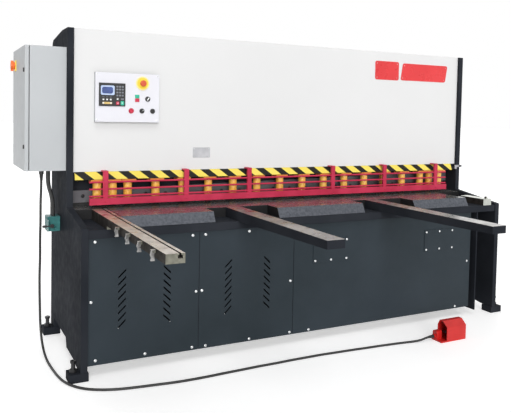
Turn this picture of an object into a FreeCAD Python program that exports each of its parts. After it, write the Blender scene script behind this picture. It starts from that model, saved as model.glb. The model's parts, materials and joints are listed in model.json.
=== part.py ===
import FreeCAD, Part
import math
import os
import Sketcher

# A hydraulic swing-beam shear, 3.2 m wide, built as a parametric document.
# Machine frame while modelling: X = 0 midway between the side frames, Y = 0 on the
# front face of the upper cover, Z = 0 on the floor. Every sub-part is then placed so
# that the origin lies under the middle of the machine's bounding box.

# Driving sizes, in millimetres and degrees
SIZES = {
    # side frames
    "inner_span": 3220,
    "frame_thick": 40,
    "frame_height": 2076,
    "frame_rear": 525,
    "cover_setback": 20,
    "base_reach": 463,
    "knee_height": 885,
    "neck_height": 950,
    "crown_flat": 190,
    "crown_drop": 37,
    "crown_round": 45,
    "foot_knee": 25,
    "arch_front": 205,
    "arch_height": 64,
    "arch_step": 121,
    "arch_step_start": 39,
    "arch_step_end": 14,
    "arch_slant": 30,
    "corner_round": 8,
    # feet
    "foot_height": 50,
    "foot_length": 100,
    "foot_outboard": 64,
    "foot_inboard": 8,
    "bolt_radius": 12,
    "bolt_height": 115,
    "bolt_nut_radius": 21,
    "bolt_nut_height": 18,
    # worktable and bed
    "table_top": 874,
    "table_thick": 50,
    "table_front": 455,
    "bed_height": 64,
    "bed_foot": 18,
    "bed_slope": 35,
    "bed_rear": 60,
    "blade_thick": 25,
    "blade_height": 80,
    "blade_length": 3200,
    "blade_gap": 5,
    "recess_centre": 580,
    "recess_half": 231,
    "recess_back": 262,
    "bed_end_left": 1406,
    "bed_end_right": 1343,
    "bed_end_back": 65,
    "cut_over": 5,
    "bore_over": 1,
    "web_thick": 30,
    "web_front": 60,
    "web_bottom": 150,
    "gusset_place": 1422,
    "gusset_thick": 12,
    "gusset_front": 452,
    "gusset_low": 45,
    "gusset_foot": 150,
    # base panels
    "panel_face": 430,
    "panel_thick": 4,
    "panel_bottom": 74,
    "panel_seam": 4,
    "seam_left": 915,
    "seam_right": 230,
    "plate_end": 1383,
    "plate_return": 60,
    "post_width": 50,
    "louvre_width": 46,
    "louvre_rise": 44,
    "louvre_slot": 12,
    "louvre_pitch": 43,
    "louvre_count": 8,
    "louvre_low": 272,
    "louvre_offset": 140,
    "access_plate_width": 290,
    "access_plate_height": 165,
    "access_plate_thick": 4,
    "access_plate_low": 545,
    "access_plate_first": 68,
    "access_plate_second": 1056,
    # rear of the frame
    "tie_height": 120,
    "tie_width": 80,
    "tie_low": 150,
    "tie_setback": 15,
    "chute_gap": 2,
    "chute_thick": 5,
    "chute_high": 740,
    "chute_low": 430,
    "chute_reach": 470,
    # cover, stripe board, hold-downs
    "cover_low": 1169,
    "cover_thick": 3,
    "cover_return": 120,
    "cover_gap": 1,
    "stripe_end_gap": 50,
    "stripe_low": 1120,
    "stripe_lean": 20,
    "stripe_thick": 4,
    "beam_front": 10,
    "beam_thick": 30,
    "beam_top": 1720,
    "beam_flange_low": 1117,
    "beam_flange_high": 1142,
    "beam_flange_proud": 8,
    "beam_flange_rear": 58,
    "hold_down_axis": 26,
    "hold_down_radius": 28.5,
    "hold_down_low": 988,
    "hold_down_pitch": 192,
    "hold_down_pairs": 7,
    "hold_down_end_first": 1349,
    "hold_down_end_second": 1450,
    "hold_flange_width": 96,
    "hold_flange_depth": 76,
    "hold_flange_thick": 20,
    "plunger_radius": 19,
    "plunger_foot_radius": 25,
    "plunger_foot_height": 12,
    "plunger_low": 960,
    "plunger_reach": 100,
    "plunger_play": 0.4,
    "plunger_bore_spare": 5,
    # swing beam
    "pivot_rear": 430,
    "pivot_height": 1000,
    "pivot_radius": 45,
    "pivot_play": 0.4,
    "pivot_boss": 85,
    "swing_side_gap": 10,
    "swing_plate": 25,
    "swing_top": 1300,
    "swing_low": 985,
    "swing_arm_thick": 40,
    "rake_angle": 1,
    "rib_thick": 16,
    "rib_reach": 150,
    "rib_count": 5,
    "rib_pitch": 560,
    "rib_foot": 75,
    "rib_rise": 30,
    "rib_edge": 60,
    "pivot_pad": 42.5,
    "pin_proud": 20,
    "shelf_top": 1040,
    "shelf_thick": 30,
    "shelf_width": 130,
    "shelf_reach": 180,
    # main cylinders
    "cylinder_place": 1450,
    "cylinder_axis": 250,
    "cylinder_radius": 60,
    "cylinder_low": 1120,
    "cylinder_high": 1500,
    "ram_radius": 25,
    "ram_play": 0.4,
    "ram_gap": 1.3,
    "ram_inside": 160,
    "ram_bore_spare": 10,
    "cylinder_beam_height": 60,
    "cylinder_beam_front": 170,
    "cylinder_beam_rear": 350,
    # oil tank and pump
    "tank_front": 150,
    "tank_rear": 470,
    "tank_height": 220,
    "tank_half": 1100,
    "motor_radius": 100,
    "motor_length": 340,
    "motor_place": 500,
    "motor_rise": 30,
    "motor_foot_inset": 30,
    "motor_foot_half": 80,
    "motor_foot_sink": 50,
    "pump_radius": 60,
    "pump_length": 170,
    # back gauge on the swing beam
    "gauge_place": 1000,
    "gauge_width": 70,
    "gauge_height": 90,
    "gauge_low": 1085,
    "gauge_reach": 860,
    "gauge_stop": 640,
    "gauge_stop_depth": 40,
    "gauge_stop_height": 110,
    "gauge_stop_half": 1350,
    "gauge_motor_radius": 55,
    "gauge_motor_length": 150,
    # finger guard
    "guard_left": 1517,
    "guard_right": 1461,
    "guard_plane": 45,
    "guard_post_end_left": 1414,
    "guard_post_second": 864,
    "guard_post_third": 388,
    "guard_post_fourth": 325,
    "guard_post_fifth": 817,
    "guard_post_end_right": 1350,
    "guard_post_width": 33,
    "guard_post_thick": 14,
    "guard_top": 1178,
    "guard_arm_gap": 1,
    "guard_bar_low": 962,
    "guard_bar_height": 43,
    "guard_bar_thick": 8,
    "guard_rod_radius": 6,
    "guard_rod_low": 1016,
    "guard_rod_pitch": 45,
    "guard_rod_count": 3,
    # electrical cabinet on the left frame
    "cabinet_front": 10,
    "cabinet_rear": 600,
    "cabinet_low": 1179,
    "cabinet_high": 1953,
    "cabinet_depth": 220,
    "cabinet_wall": 5,
    "door_thick": 22,
    "door_gap": 5,
    "hinge_radius": 7,
    "hinge_length": 60,
    "hinge_inset": 110,
    "hinge_leaf": 4,
    "hinge_seat": 20,
    "hinge_play": 0.3,
    "hinge_stand": 0.5,
    "lock_inset": 150,
    "lock_from_front": 35,
    "lock_radius": 13,
    "lock_proud": 7,
    "switch_size": 70,
    "switch_from_top": 103,
    "switch_from_rear": 130,
    "switch_plate": 6,
    "switch_radius": 24,
    "switch_depth": 26,
    "switch_grip_gap": 8,
    "switch_grip_half": 7,
    # control box on the cover
    "panel_box_left": 1480,
    "panel_box_right": 1058,
    "panel_box_low": 1490,
    "panel_box_high": 1806,
    "panel_box_proud": 34,
    "screen_left": 1458,
    "screen_right": 1287,
    "screen_low": 1591,
    "screen_high": 1739,
    "screen_proud": 7,
    "stop_place": 1172,
    "stop_height": 1744,
    "stop_disc_radius": 45,
    "stop_disc_thick": 3,
    "stop_head_radius": 20,
    "stop_head_height": 16,
    "stop_stem_radius": 12,
    "stop_head_gap": 8,
    "button_radius": 13,
    "button_row_left": 1247,
    "button_row_height": 1564,
    "button_pitch": 72,
    "button_travel": 5,
    "selector_place": 1137,
    "selector_height": 1643,
    "double_button_place": 1208,
    "double_button_middle": 1646,
    "double_button_width": 28,
    "double_button_height": 23,
    "button_head": 10,
    "button_inside": 12,
    "button_play": 0.4,
    "button_hole_spare": 2,
    # arms in front of the table
    "arm_reach": 1480,
    "arm_width": 108,
    "arm_tip": 46,
    "left_arm_place": 610,
    "right_arm_place": 526,
    "root_gap": 2,
    "squaring_left": 1504,
    "squaring_width": 92,
    "squaring_height": 45,
    "slot_place": 24,
    "slot_width": 10,
    "slot_lip": 8,
    "slot_head": 24,
    "slot_depth": 24,
    "stop_first": 742,
    "stop_pitch": 206,
    "stop_thick": 12,
    "stop_pin_offset": 16,
    "stop_pin_drop": 12,
    "stop_pin_radius": 4,
    "stop_play": 0.3,
    "stop_side_gap": 0.5,
    "stop_ear_half": 8,
    "stop_ear_thick": 10,
    "stop_eye_radius": 8,
    "stop_bow": 6,
    "stop_drop": 42,
    "stop_waist": 14,
    "stop_curve": 8,
    "stop_eye_round": 4,
    "stop_toe": 4,
    "stop_toe_rise": 12,
    "stop_toe_curve": 6,
    "stop_neck": 4,
    "stop_count": 4,
    "side_guide_left": 1485,
    "side_guide_width": 84,
    "side_guide_height": 50,
    "side_guide_rear": 205,
    "knob_place": 15,
    "knob_from_front": 30,
    "knob_radius": 12,
    "knob_height": 16,
    # valve box, conduits and foot switch
    "valve_width": 80,
    "valve_depth": 100,
    "valve_low": 765,
    "valve_high": 862,
    "valve_front": 200,
    "lever_rise": 30,
    "lever_radius": 6,
    "lever_length": 70,
    "conduit_radius": 9,
    "conduit_pitch": 21,
    "conduit_count": 4,
    "conduit_out": 70,
    "conduit_straight": 110,
    "gland_radius": 15,
    "gland_length": 26,
    "cable_radius": 7.5,
    "foot_switch_left": 735,
    "foot_switch_front": 826,
    "foot_switch_length": 227,
    "foot_switch_width": 96,
    "foot_switch_base": 10,
    "hood_place": 52,
    "hood_height": 138,
    "hood_side_height": 102,
    "hood_front_slope": 42,
    "hood_back_slope": 20,
    "hood_wall": 5,
    "hood_round": 5,
    "terminal_place": 2,
    "terminal_length": 46,
    "terminal_width": 42,
    "terminal_height": 60,
    "terminal_round": 12,
    "terminal_from_front": 69,
    "pedal_length": 88,
    "pedal_thick": 12,
    "pedal_edge": 3,
    "pedal_eye_round": 4,
    "pedal_lift": 14,
    "pedal_eye": 10,
    "pedal_pin": 5,
    "pedal_pin_place": 122,
    "pedal_pin_rise": 20,
    "pedal_side_gap": 6,
    "pedal_play": 0.3,
}

doc = FreeCAD.newDocument("ShearingMachine")
sheet = doc.addObject("Spreadsheet::Sheet", "Dims")


class Size:
    """A number that keeps the sheet expression it comes from."""

    def __init__(self, value, text):
        self.value = float(value)
        self.text = text

    def __add__(self, other):
        other = size(other)
        return Size(self.value + other.value, "(%s + %s)" % (self.text, other.text))

    def __radd__(self, other):
        return size(other) + self

    def __sub__(self, other):
        other = size(other)
        return Size(self.value - other.value, "(%s - %s)" % (self.text, other.text))

    def __rsub__(self, other):
        return size(other) - self

    def __mul__(self, other):
        other = size(other)
        return Size(self.value * other.value, "(%s * %s)" % (self.text, other.text))

    def __rmul__(self, other):
        return size(other) * self

    def __truediv__(self, other):
        other = size(other)
        return Size(self.value / other.value, "(%s / %s)" % (self.text, other.text))

    def __neg__(self):
        return Size(-self.value, "(0 - %s)" % self.text)


def size(number):
    """The number as a Size"""
    if isinstance(number, Size):
        return number
    return Size(number, "(%s)" % number)


def tangent(angle):
    return Size(math.tan(math.radians(angle.value)), "tan(%s * 1 deg)" % angle.text)


def read_sizes():
    """Fills the sheet and gives each size back by its name"""
    named = {}
    for row, (name, number) in enumerate(SIZES.items(), start=1):
        sheet.set("A%d" % row, name)
        sheet.set("B%d" % row, str(number))
        sheet.setAlias("B%d" % row, name)
        named[name] = Size(number, "Dims.%s" % name)
    doc.recompute()
    return named


class Named:
    """The driving sizes as attributes"""

    def __init__(self, named):
        self.__dict__.update(named)


D = Named(read_sizes())

AXIS_TURN = {
    "X": FreeCAD.Rotation(FreeCAD.Vector(0, 1, 0), 90),
    "Y": FreeCAD.Rotation(FreeCAD.Vector(1, 0, 0), -90),
    "Z": FreeCAD.Rotation(),
}


def bind(item, prop, number):
    item.setExpression(prop, size(number).text)


def place(item, x, y, z, turn=None):
    """Puts the item at x, y, z, turned if a rotation is given"""
    if turn is not None:
        item.Placement = FreeCAD.Placement(FreeCAD.Vector(), turn)
    bind(item, "Placement.Base.x", x)
    bind(item, "Placement.Base.y", y)
    bind(item, "Placement.Base.z", z)


def block(name, x, y, z):
    """A box between the two values of each of x, y and z"""
    item = doc.addObject("Part::Box", name)
    bind(item, "Length", x[1] - x[0])
    bind(item, "Width", y[1] - y[0])
    bind(item, "Height", z[1] - z[0])
    place(item, x[0], y[0], z[0])
    return item


def rod(name, axis, start, radius, length):
    """A cylinder from the start point along +X, +Y or +Z"""
    item = doc.addObject("Part::Cylinder", name)
    bind(item, "Radius", radius)
    bind(item, "Height", length)
    place(item, start[0], start[1], start[2], AXIS_TURN[axis])
    return item


def ball(name, centre, radius):
    item = doc.addObject("Part::Sphere", name)
    bind(item, "Radius", radius)
    place(item, centre[0], centre[1], centre[2])
    return item


def cut(name, base, tool):
    item = doc.addObject("Part::Cut", name)
    item.Base = base
    item.Tool = tool
    return item


def fuse(name, pieces):
    item = doc.addObject("Part::MultiFuse", name)
    item.Shapes = pieces
    return item


def group(name, pieces):
    item = doc.addObject("Part::Compound", name)
    item.Links = pieces
    return item


def corner_points(corners):
    """The points where the outline arrives at and leaves each corner"""
    spots = [FreeCAD.Vector(size(c[0]).value, size(c[1]).value, 0) for c in corners]
    arrive = []
    leave = []
    arcs = []
    for index, spot in enumerate(spots):
        if len(corners[index]) < 3:
            arrive.append(spot)
            leave.append(spot)
            arcs.append(None)
            continue
        radius = size(corners[index][2]).value
        back = (spots[index - 1] - spot).normalize()
        ahead = (spots[(index + 1) % len(spots)] - spot).normalize()
        half = back.getAngle(ahead) / 2
        cut_back = radius / math.tan(half)
        arrive.append(spot + back * cut_back)
        leave.append(spot + ahead * cut_back)
        centre = spot + (back + ahead).normalize() * (radius / math.sin(half))
        left_turn = ahead.x * back.y - ahead.y * back.x > 0
        arcs.append((centre, radius, left_turn))
    return spots, arrive, leave, arcs


def fix_point(sketch, geometry, corner):
    """Ties a sketch point to its two sizes"""
    across = sketch.addConstraint(
        Sketcher.Constraint("DistanceX", -1, 1, geometry, 1, size(corner[0]).value))
    sketch.setExpression("Constraints[%d]" % across, size(corner[0]).text)
    along = sketch.addConstraint(
        Sketcher.Constraint("DistanceY", -1, 1, geometry, 1, size(corner[1]).value))
    sketch.setExpression("Constraints[%d]" % along, size(corner[1]).text)


def draw_outline(sketch, corners):
    """A closed outline of (across, up) corners, rounded where a radius is the third value"""
    spots, arrive, leave, arcs = corner_points(corners)
    count = len(corners)
    lines = []
    for index in range(count):
        after = (index + 1) % count
        lines.append(sketch.addGeometry(Part.LineSegment(leave[index], arrive[after]), False))
    for index in range(count):
        before = lines[index - 1]
        line = lines[index]
        if arcs[index] is None:
            sketch.addConstraint(Sketcher.Constraint("Coincident", before, 2, line, 1))
            fix_point(sketch, line, corners[index])
            continue
        centre, radius, left_turn = arcs[index]
        first, last = arrive[index], leave[index]
        if not left_turn:
            first, last = last, first
        start_angle = math.atan2(first.y - centre.y, first.x - centre.x)
        end_angle = math.atan2(last.y - centre.y, last.x - centre.x)
        circle = Part.Circle(centre, FreeCAD.Vector(0, 0, 1), radius)
        arc = sketch.addGeometry(Part.ArcOfCircle(circle, start_angle, end_angle), False)
        near, far = (1, 2) if left_turn else (2, 1)
        sketch.addConstraint(Sketcher.Constraint("Tangent", before, 2, arc, near))
        sketch.addConstraint(Sketcher.Constraint("Tangent", arc, far, line, 1))
        turn = sketch.addConstraint(Sketcher.Constraint("Radius", arc, radius))
        sketch.setExpression("Constraints[%d]" % turn, size(corners[index][2]).text)
        point = sketch.addGeometry(Part.Point(spots[index]), True)
        fix_point(sketch, point, corners[index])
        sketch.addConstraint(Sketcher.Constraint("PointOnObject", point, 1, before))
        sketch.addConstraint(Sketcher.Constraint("PointOnObject", point, 1, line))


def sketch_on(body, name, plane, offset):
    """A sketch on one of the body's own planes, moved along its normal"""
    sketch = body.newObject("Sketcher::SketchObject", name)
    for datum in body.Origin.OriginFeatures:
        if datum.Role == plane:
            sketch.AttachmentSupport = (datum, [""])
    sketch.MapMode = "FlatFace"
    bind(sketch, "AttachmentOffset.Base.z", offset)
    return sketch


def padded(name, plane, corners, span):
    """A body padded from an outline, between the two values of span along the plane's axis"""
    body = doc.addObject("PartDesign::Body", name)
    low, high = size(span[0]), size(span[1])
    offset = -high if plane == "XZ_Plane" else low
    sketch = sketch_on(body, name + "_outline", plane, offset)
    draw_outline(sketch, corners)
    pad = body.newObject("PartDesign::Pad", name + "_pad")
    pad.Profile = sketch
    bind(pad, "Length", high - low)
    body.Tip = pad
    return body


def pocketed(body, name, plane, outlines, span):
    """Cuts the outlines out of the body between the two values of span"""
    low, high = size(span[0]), size(span[1])
    offset = -low if plane == "XZ_Plane" else high
    sketch = sketch_on(body, name + "_outline", plane, offset)
    for corners in outlines:
        draw_outline(sketch, corners)
    pocket = body.newObject("PartDesign::Pocket", name)
    pocket.Profile = sketch
    bind(pocket, "Length", high - low)
    body.Tip = pocket
    return pocket


def rectangle(x, z):
    return [(x[0], z[0]), (x[1], z[0]), (x[1], z[1]), (x[0], z[1])]


# Places that several sub-parts share
half_span = D.inner_span / 2
frame_outer = half_span + D.frame_thick
frame_front = -D.cover_setback
base_front = -D.base_reach
table_front = -D.table_front
bed_top = D.table_top + D.bed_height
bed_foot = table_front + D.bed_foot
bed_front = bed_foot + D.bed_slope
blade_half = D.blade_length / 2
shear_plane = D.bed_rear + D.blade_thick
upper_blade_front = shear_plane + D.blade_gap
swing_front = upper_blade_front + D.blade_thick
swing_rear = swing_front + D.swing_plate
swing_half = half_span - D.swing_side_gap
panel_face = -D.panel_face
panel_back = panel_face + D.panel_thick
under_table = D.table_top - D.table_thick
cabinet_outer = -(frame_outer + D.cabinet_depth + D.door_gap + D.door_thick)
door_inner = cabinet_outer + D.door_thick
cabinet_open = door_inner + D.door_gap
switch_face = cabinet_outer - D.switch_plate
switch_tip = switch_face - D.switch_depth
foot_outer = frame_outer + D.foot_outboard
arm_end = -D.arm_reach
gauge_end = D.gauge_reach + D.gauge_motor_length

origin_x = (switch_tip + foot_outer) / 2
origin_y = (arm_end + gauge_end) / 2

nodes = []


def node(name, piece):
    """Gives the finished sub-part its name and its place in the part's frame"""
    item = group(name, piece if isinstance(piece, list) else [piece])
    item.Label = name
    place(item, -origin_x, -origin_y, 0)
    nodes.append(item)
    return item


# Side frames with their deep base, sloping crown and arched lower edge
def side_frame(name, low, high):
    neck = frame_front
    corners = [
        (base_front, D.foot_height),
        (base_front + D.foot_length + D.foot_knee, D.foot_height, D.corner_round),
        (base_front + D.arch_front, D.arch_height, D.corner_round),
        (-D.arch_step_start, D.arch_height, D.corner_round),
        (-D.arch_step_end, D.arch_step, D.corner_round),
        (D.frame_rear - D.foot_length - D.arch_slant, D.arch_step, D.corner_round),
        (D.frame_rear - D.foot_length, D.foot_height),
        (D.frame_rear, D.foot_height),
        (D.frame_rear, D.frame_height - D.crown_drop, D.crown_round),
        (neck + D.crown_flat, D.frame_height, D.crown_round),
        (neck, D.frame_height, D.corner_round),
        (neck, D.neck_height, D.corner_round),
        (base_front, D.knee_height, D.corner_round),
    ]
    return padded(name, "YZ_Plane", corners, (low, high))


node("side_frame_left", side_frame("left_frame_plate", -frame_outer, -half_span))
node("side_frame_right", side_frame("right_frame_plate", half_span, frame_outer))


# Four feet, each with a levelling bolt on its outer end
def feet():
    pads = []
    bolts = []
    inner = half_span - D.foot_inboard
    for side, flip in (("left", -1), ("right", 1)):
        edges = sorted((inner * flip, foot_outer * flip), key=lambda edge: edge.value)
        bolt_x = (frame_outer + D.foot_outboard / 2) * flip
        for end, y in (("front", base_front), ("rear", D.frame_rear - D.foot_length)):
            name = side + "_" + end
            pads.append(block(name + "_foot", edges, (y, y + D.foot_length), (size(0), D.foot_height)))
            middle = y + D.foot_length / 2
            shaft = rod(name + "_bolt_shaft", "Z", (bolt_x, middle, D.foot_height), D.bolt_radius,
                        D.bolt_height - D.foot_height)
            nut = rod(name + "_bolt_nut", "Z", (bolt_x, middle, D.foot_height),
                      D.bolt_nut_radius, D.bolt_nut_height)
            bolts.append(fuse(name + "_bolt", [shaft, nut]))
    node("feet", pads)
    node("levelling_bolts", bolts)


feet()


# Worktable plate, its upright web, the bed with its recesses and the lower blade
def worktable():
    web_back = -D.web_front + D.web_thick
    top = block("table_plate", (-half_span, half_span), (table_front, D.bed_rear),
                (under_table, D.table_top))
    web = block("table_web", (-half_span, half_span), (-D.web_front, web_back),
                (D.web_bottom, under_table))
    gusset_front = -D.gusset_front
    leg = [(gusset_front, D.gusset_low), (gusset_front + D.gusset_foot, D.gusset_low),
           (-D.web_front, D.web_bottom), (-D.web_front, under_table), (gusset_front, under_table)]
    gusset = padded("table_gusset", "YZ_Plane", leg,
                    (D.gusset_place, D.gusset_place + D.gusset_thick))
    node("worktable", fuse("worktable_weldment", [top, web, gusset]))


def bed():
    slope = [(bed_front, bed_top), (bed_foot, D.table_top), (D.bed_rear, D.table_top),
             (D.bed_rear, bed_top)]
    body = padded("bed_block", "YZ_Plane", slope, (-half_span, half_span))
    front = bed_foot - D.cut_over
    side = half_span + D.cut_over
    outlines = []
    for centre in (-D.recess_centre, D.recess_centre):
        outlines.append(rectangle((centre - D.recess_half, centre + D.recess_half),
                                  (front, -D.recess_back)))
    for ends in ((-side, -D.bed_end_left), (D.bed_end_right, side)):
        outlines.append(rectangle(ends, (front, -D.bed_end_back)))
    pocketed(body, "bed_recesses", "XY_Plane", outlines, (D.table_top, bed_top))
    node("bed", body)


worktable()
bed()
node("lower_blade", block("lower_blade_bar", (-blade_half, blade_half), (D.bed_rear, shear_plane),
                          (bed_top - D.blade_height, bed_top)))


# Front of the base: posts and rail, louvred panels, plain plate and its access plates
def base_frame():
    back = panel_back + D.post_width
    inner_face = -(D.web_front)
    posts = []
    for name, x in (("left", -D.seam_left), ("middle", -D.seam_right)):
        x_low = x - D.post_width / 2
        posts.append(block(name + "_post", (x_low, x_low + D.post_width), (panel_back, back),
                           (D.panel_bottom, under_table)))
    end = D.plate_end - D.panel_thick
    posts.append(block("end_post", (end - D.post_width, end), (panel_back, back),
                       (D.panel_bottom, under_table)))
    posts.append(block("left_frame_post", (-half_span, -half_span + D.post_width),
                       (panel_back, back), (D.panel_bottom, under_table)))
    rails = [block("bottom_rail", (-half_span, end), (panel_back, back),
                   (D.panel_bottom, D.panel_bottom + D.post_width))]
    ties = []
    for name, x in (("left", -D.seam_left), ("middle", -D.seam_right)):
        ties.append(block(name + "_stretcher", (x - D.post_width / 2, x + D.post_width / 2),
                          (back, inner_face), (D.web_bottom, D.web_bottom + D.post_width)))
    node("base_frame", fuse("base_frame_tubes", posts + rails + ties))


def louvre(centre, low, lean):
    """Outline of one slanting slot; lean is 1 for a rise to the right, -1 to the left"""
    half = D.louvre_width / 2
    left = centre - half
    right = centre + half
    left_low = low if lean > 0 else low + D.louvre_rise
    right_low = low + D.louvre_rise if lean > 0 else low
    return [(left, left_low), (right, right_low), (right, right_low + D.louvre_slot),
            (left, left_low + D.louvre_slot)]


def louvred_panel(name, x):
    middle = (x[0] + x[1]) / 2
    columns = ((middle - D.louvre_offset, 1), (middle + D.louvre_offset, -1))
    body = padded(name + "_sheet", "XZ_Plane", rectangle(x, (D.panel_bottom, under_table)),
                  (panel_face, panel_back))
    for number, (centre, lean) in enumerate(columns):
        slot = pocketed(body, "%s_slot_%d" % (name, number), "XZ_Plane",
                        [louvre(centre, D.louvre_low, lean)], (panel_face, panel_back))
        rows = body.newObject("PartDesign::LinearPattern", "%s_slots_%d" % (name, number))
        rows.Originals = [slot]
        rows.Direction = (slot.Profile[0], ["V_Axis"])
        bind(rows, "Length", D.louvre_pitch * (D.louvre_count - 1))
        bind(rows, "Occurrences", D.louvre_count)
        body.Tip = rows
    node(name, body)


base_frame()
seam = D.panel_seam / 2
louvred_panel("front_panel_left", (-half_span, -D.seam_left - seam))
louvred_panel("front_panel_middle", (-D.seam_left + seam, -D.seam_right - seam))


def front_plate():
    end = D.plate_end
    corners = [(-D.seam_right + seam, panel_face), (end, panel_face),
               (end, panel_face + D.plate_return), (end - D.panel_thick, panel_face + D.plate_return),
               (end - D.panel_thick, panel_back), (-D.seam_right + seam, panel_back)]
    node("front_plate", padded("front_plate_sheet", "XY_Plane", corners,
                               (D.panel_bottom, under_table)))
    plates = []
    for name, centre in (("first", D.access_plate_first), ("second", D.access_plate_second)):
        half = D.access_plate_width / 2
        plates.append(block(name + "_access_plate", (centre - half, centre + half),
                            (panel_face - D.access_plate_thick, panel_face),
                            (D.access_plate_low, D.access_plate_low + D.access_plate_height)))
    node("access_plates", plates)


front_plate()


# Rear tie beam and the chute that carries cut pieces to the back
def rear_base():
    rear = D.frame_rear - D.tie_setback
    node("rear_tie_beam", block("tie_beam", (-half_span, half_span), (rear - D.tie_width, rear),
                                (D.tie_low, D.tie_low + D.tie_height)))
    top_front = D.bed_rear + D.chute_gap
    drop = D.chute_thick
    corners = [(top_front, D.chute_high), (D.chute_reach, D.chute_low),
               (D.chute_reach, D.chute_low - drop), (top_front, D.chute_high - drop)]
    node("chute", padded("chute_sheet", "YZ_Plane", corners, (-half_span, half_span)))


rear_base()


# Upper cover, striped board and the hold-down beam with its cylinders
def upper_front():
    cover_half = half_span - D.cover_gap
    top = D.frame_height
    face = block("cover_face", (-cover_half, cover_half), (size(0), D.cover_thick), (D.cover_low, top))
    crown = block("cover_crown", (-cover_half, cover_half), (size(0), D.cover_return),
                  (top - D.cover_thick, top))
    sides = []
    for name, x in (("left", -cover_half), ("right", cover_half - D.cover_thick)):
        sides.append(block(name + "_cover_edge", (x, x + D.cover_thick),
                           (size(0), D.beam_front), (D.cover_low, top)))
    node("front_cover", fuse("front_cover_sheet", [face, crown] + sides))
    lean = -D.stripe_lean
    corners = [(-D.stripe_thick, D.cover_low), (lean - D.stripe_thick, D.stripe_low),
               (lean, D.stripe_low), (size(0), D.cover_low)]
    node("stripe_board", padded("stripe_board_sheet", "YZ_Plane", corners,
                                (-blade_half, half_span - D.stripe_end_gap)))


def hold_down_places():
    """The hold-down positions along the beam: even pairs, and two more at each end"""
    pairs = int(D.hold_down_pairs.value)
    places = [D.hold_down_pitch * index + D.hold_down_pitch / 2 for index in range(pairs)]
    places += [D.hold_down_end_first, D.hold_down_end_second]
    return [-x for x in places] + places


def hold_downs():
    plate = block("hold_down_plate", (-half_span, half_span),
                  (D.beam_front, D.beam_front + D.beam_thick), (D.beam_flange_low, D.beam_top))
    flange = block("hold_down_flange", (-half_span, half_span), (D.beam_front - D.beam_flange_proud, D.beam_flange_rear),
                   (D.beam_flange_low, D.beam_flange_high))
    node("hold_down_beam", fuse("hold_down_beam_weldment", [plate, flange]))
    cylinders = []
    plungers = []
    flange_low = D.beam_flange_low - D.hold_flange_thick
    for number, x in enumerate(hold_down_places()):
        name = "hold_down_%d" % number
        half = D.hold_flange_width / 2
        half_deep = D.hold_flange_depth / 2
        top = block(name + "_flange", (x - half, x + half),
                    (D.hold_down_axis - half_deep, D.hold_down_axis + half_deep),
                    (flange_low, D.beam_flange_low))
        barrel = rod(name + "_barrel", "Z", (x, D.hold_down_axis, D.hold_down_low),
                     D.hold_down_radius, flange_low - D.hold_down_low)
        bore = rod(name + "_bore", "Z", (x, D.hold_down_axis, D.hold_down_low),
                   D.plunger_radius + D.plunger_play, D.plunger_reach + D.plunger_bore_spare)
        cylinders.append(cut(name, fuse(name + "_casting", [top, barrel]), bore))
        foot = rod(name + "_foot", "Z", (x, D.hold_down_axis, D.plunger_low),
                   D.plunger_foot_radius, D.plunger_foot_height)
        stem = rod(name + "_stem", "Z", (x, D.hold_down_axis, D.plunger_low), D.plunger_radius,
                   D.plunger_reach)
        plungers.append(fuse(name + "_plunger", [foot, stem]))
    node("hold_down_cylinders", cylinders)
    node("hold_down_plungers", plungers)


upper_front()
hold_downs()


# Swing beam with its arms, ribs and raked blade, and the pins it turns on
def raked(height, x):
    """A height at x that rises to the right with the blade's rake"""
    return height + tangent(D.rake_angle) * (x + blade_half)


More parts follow.
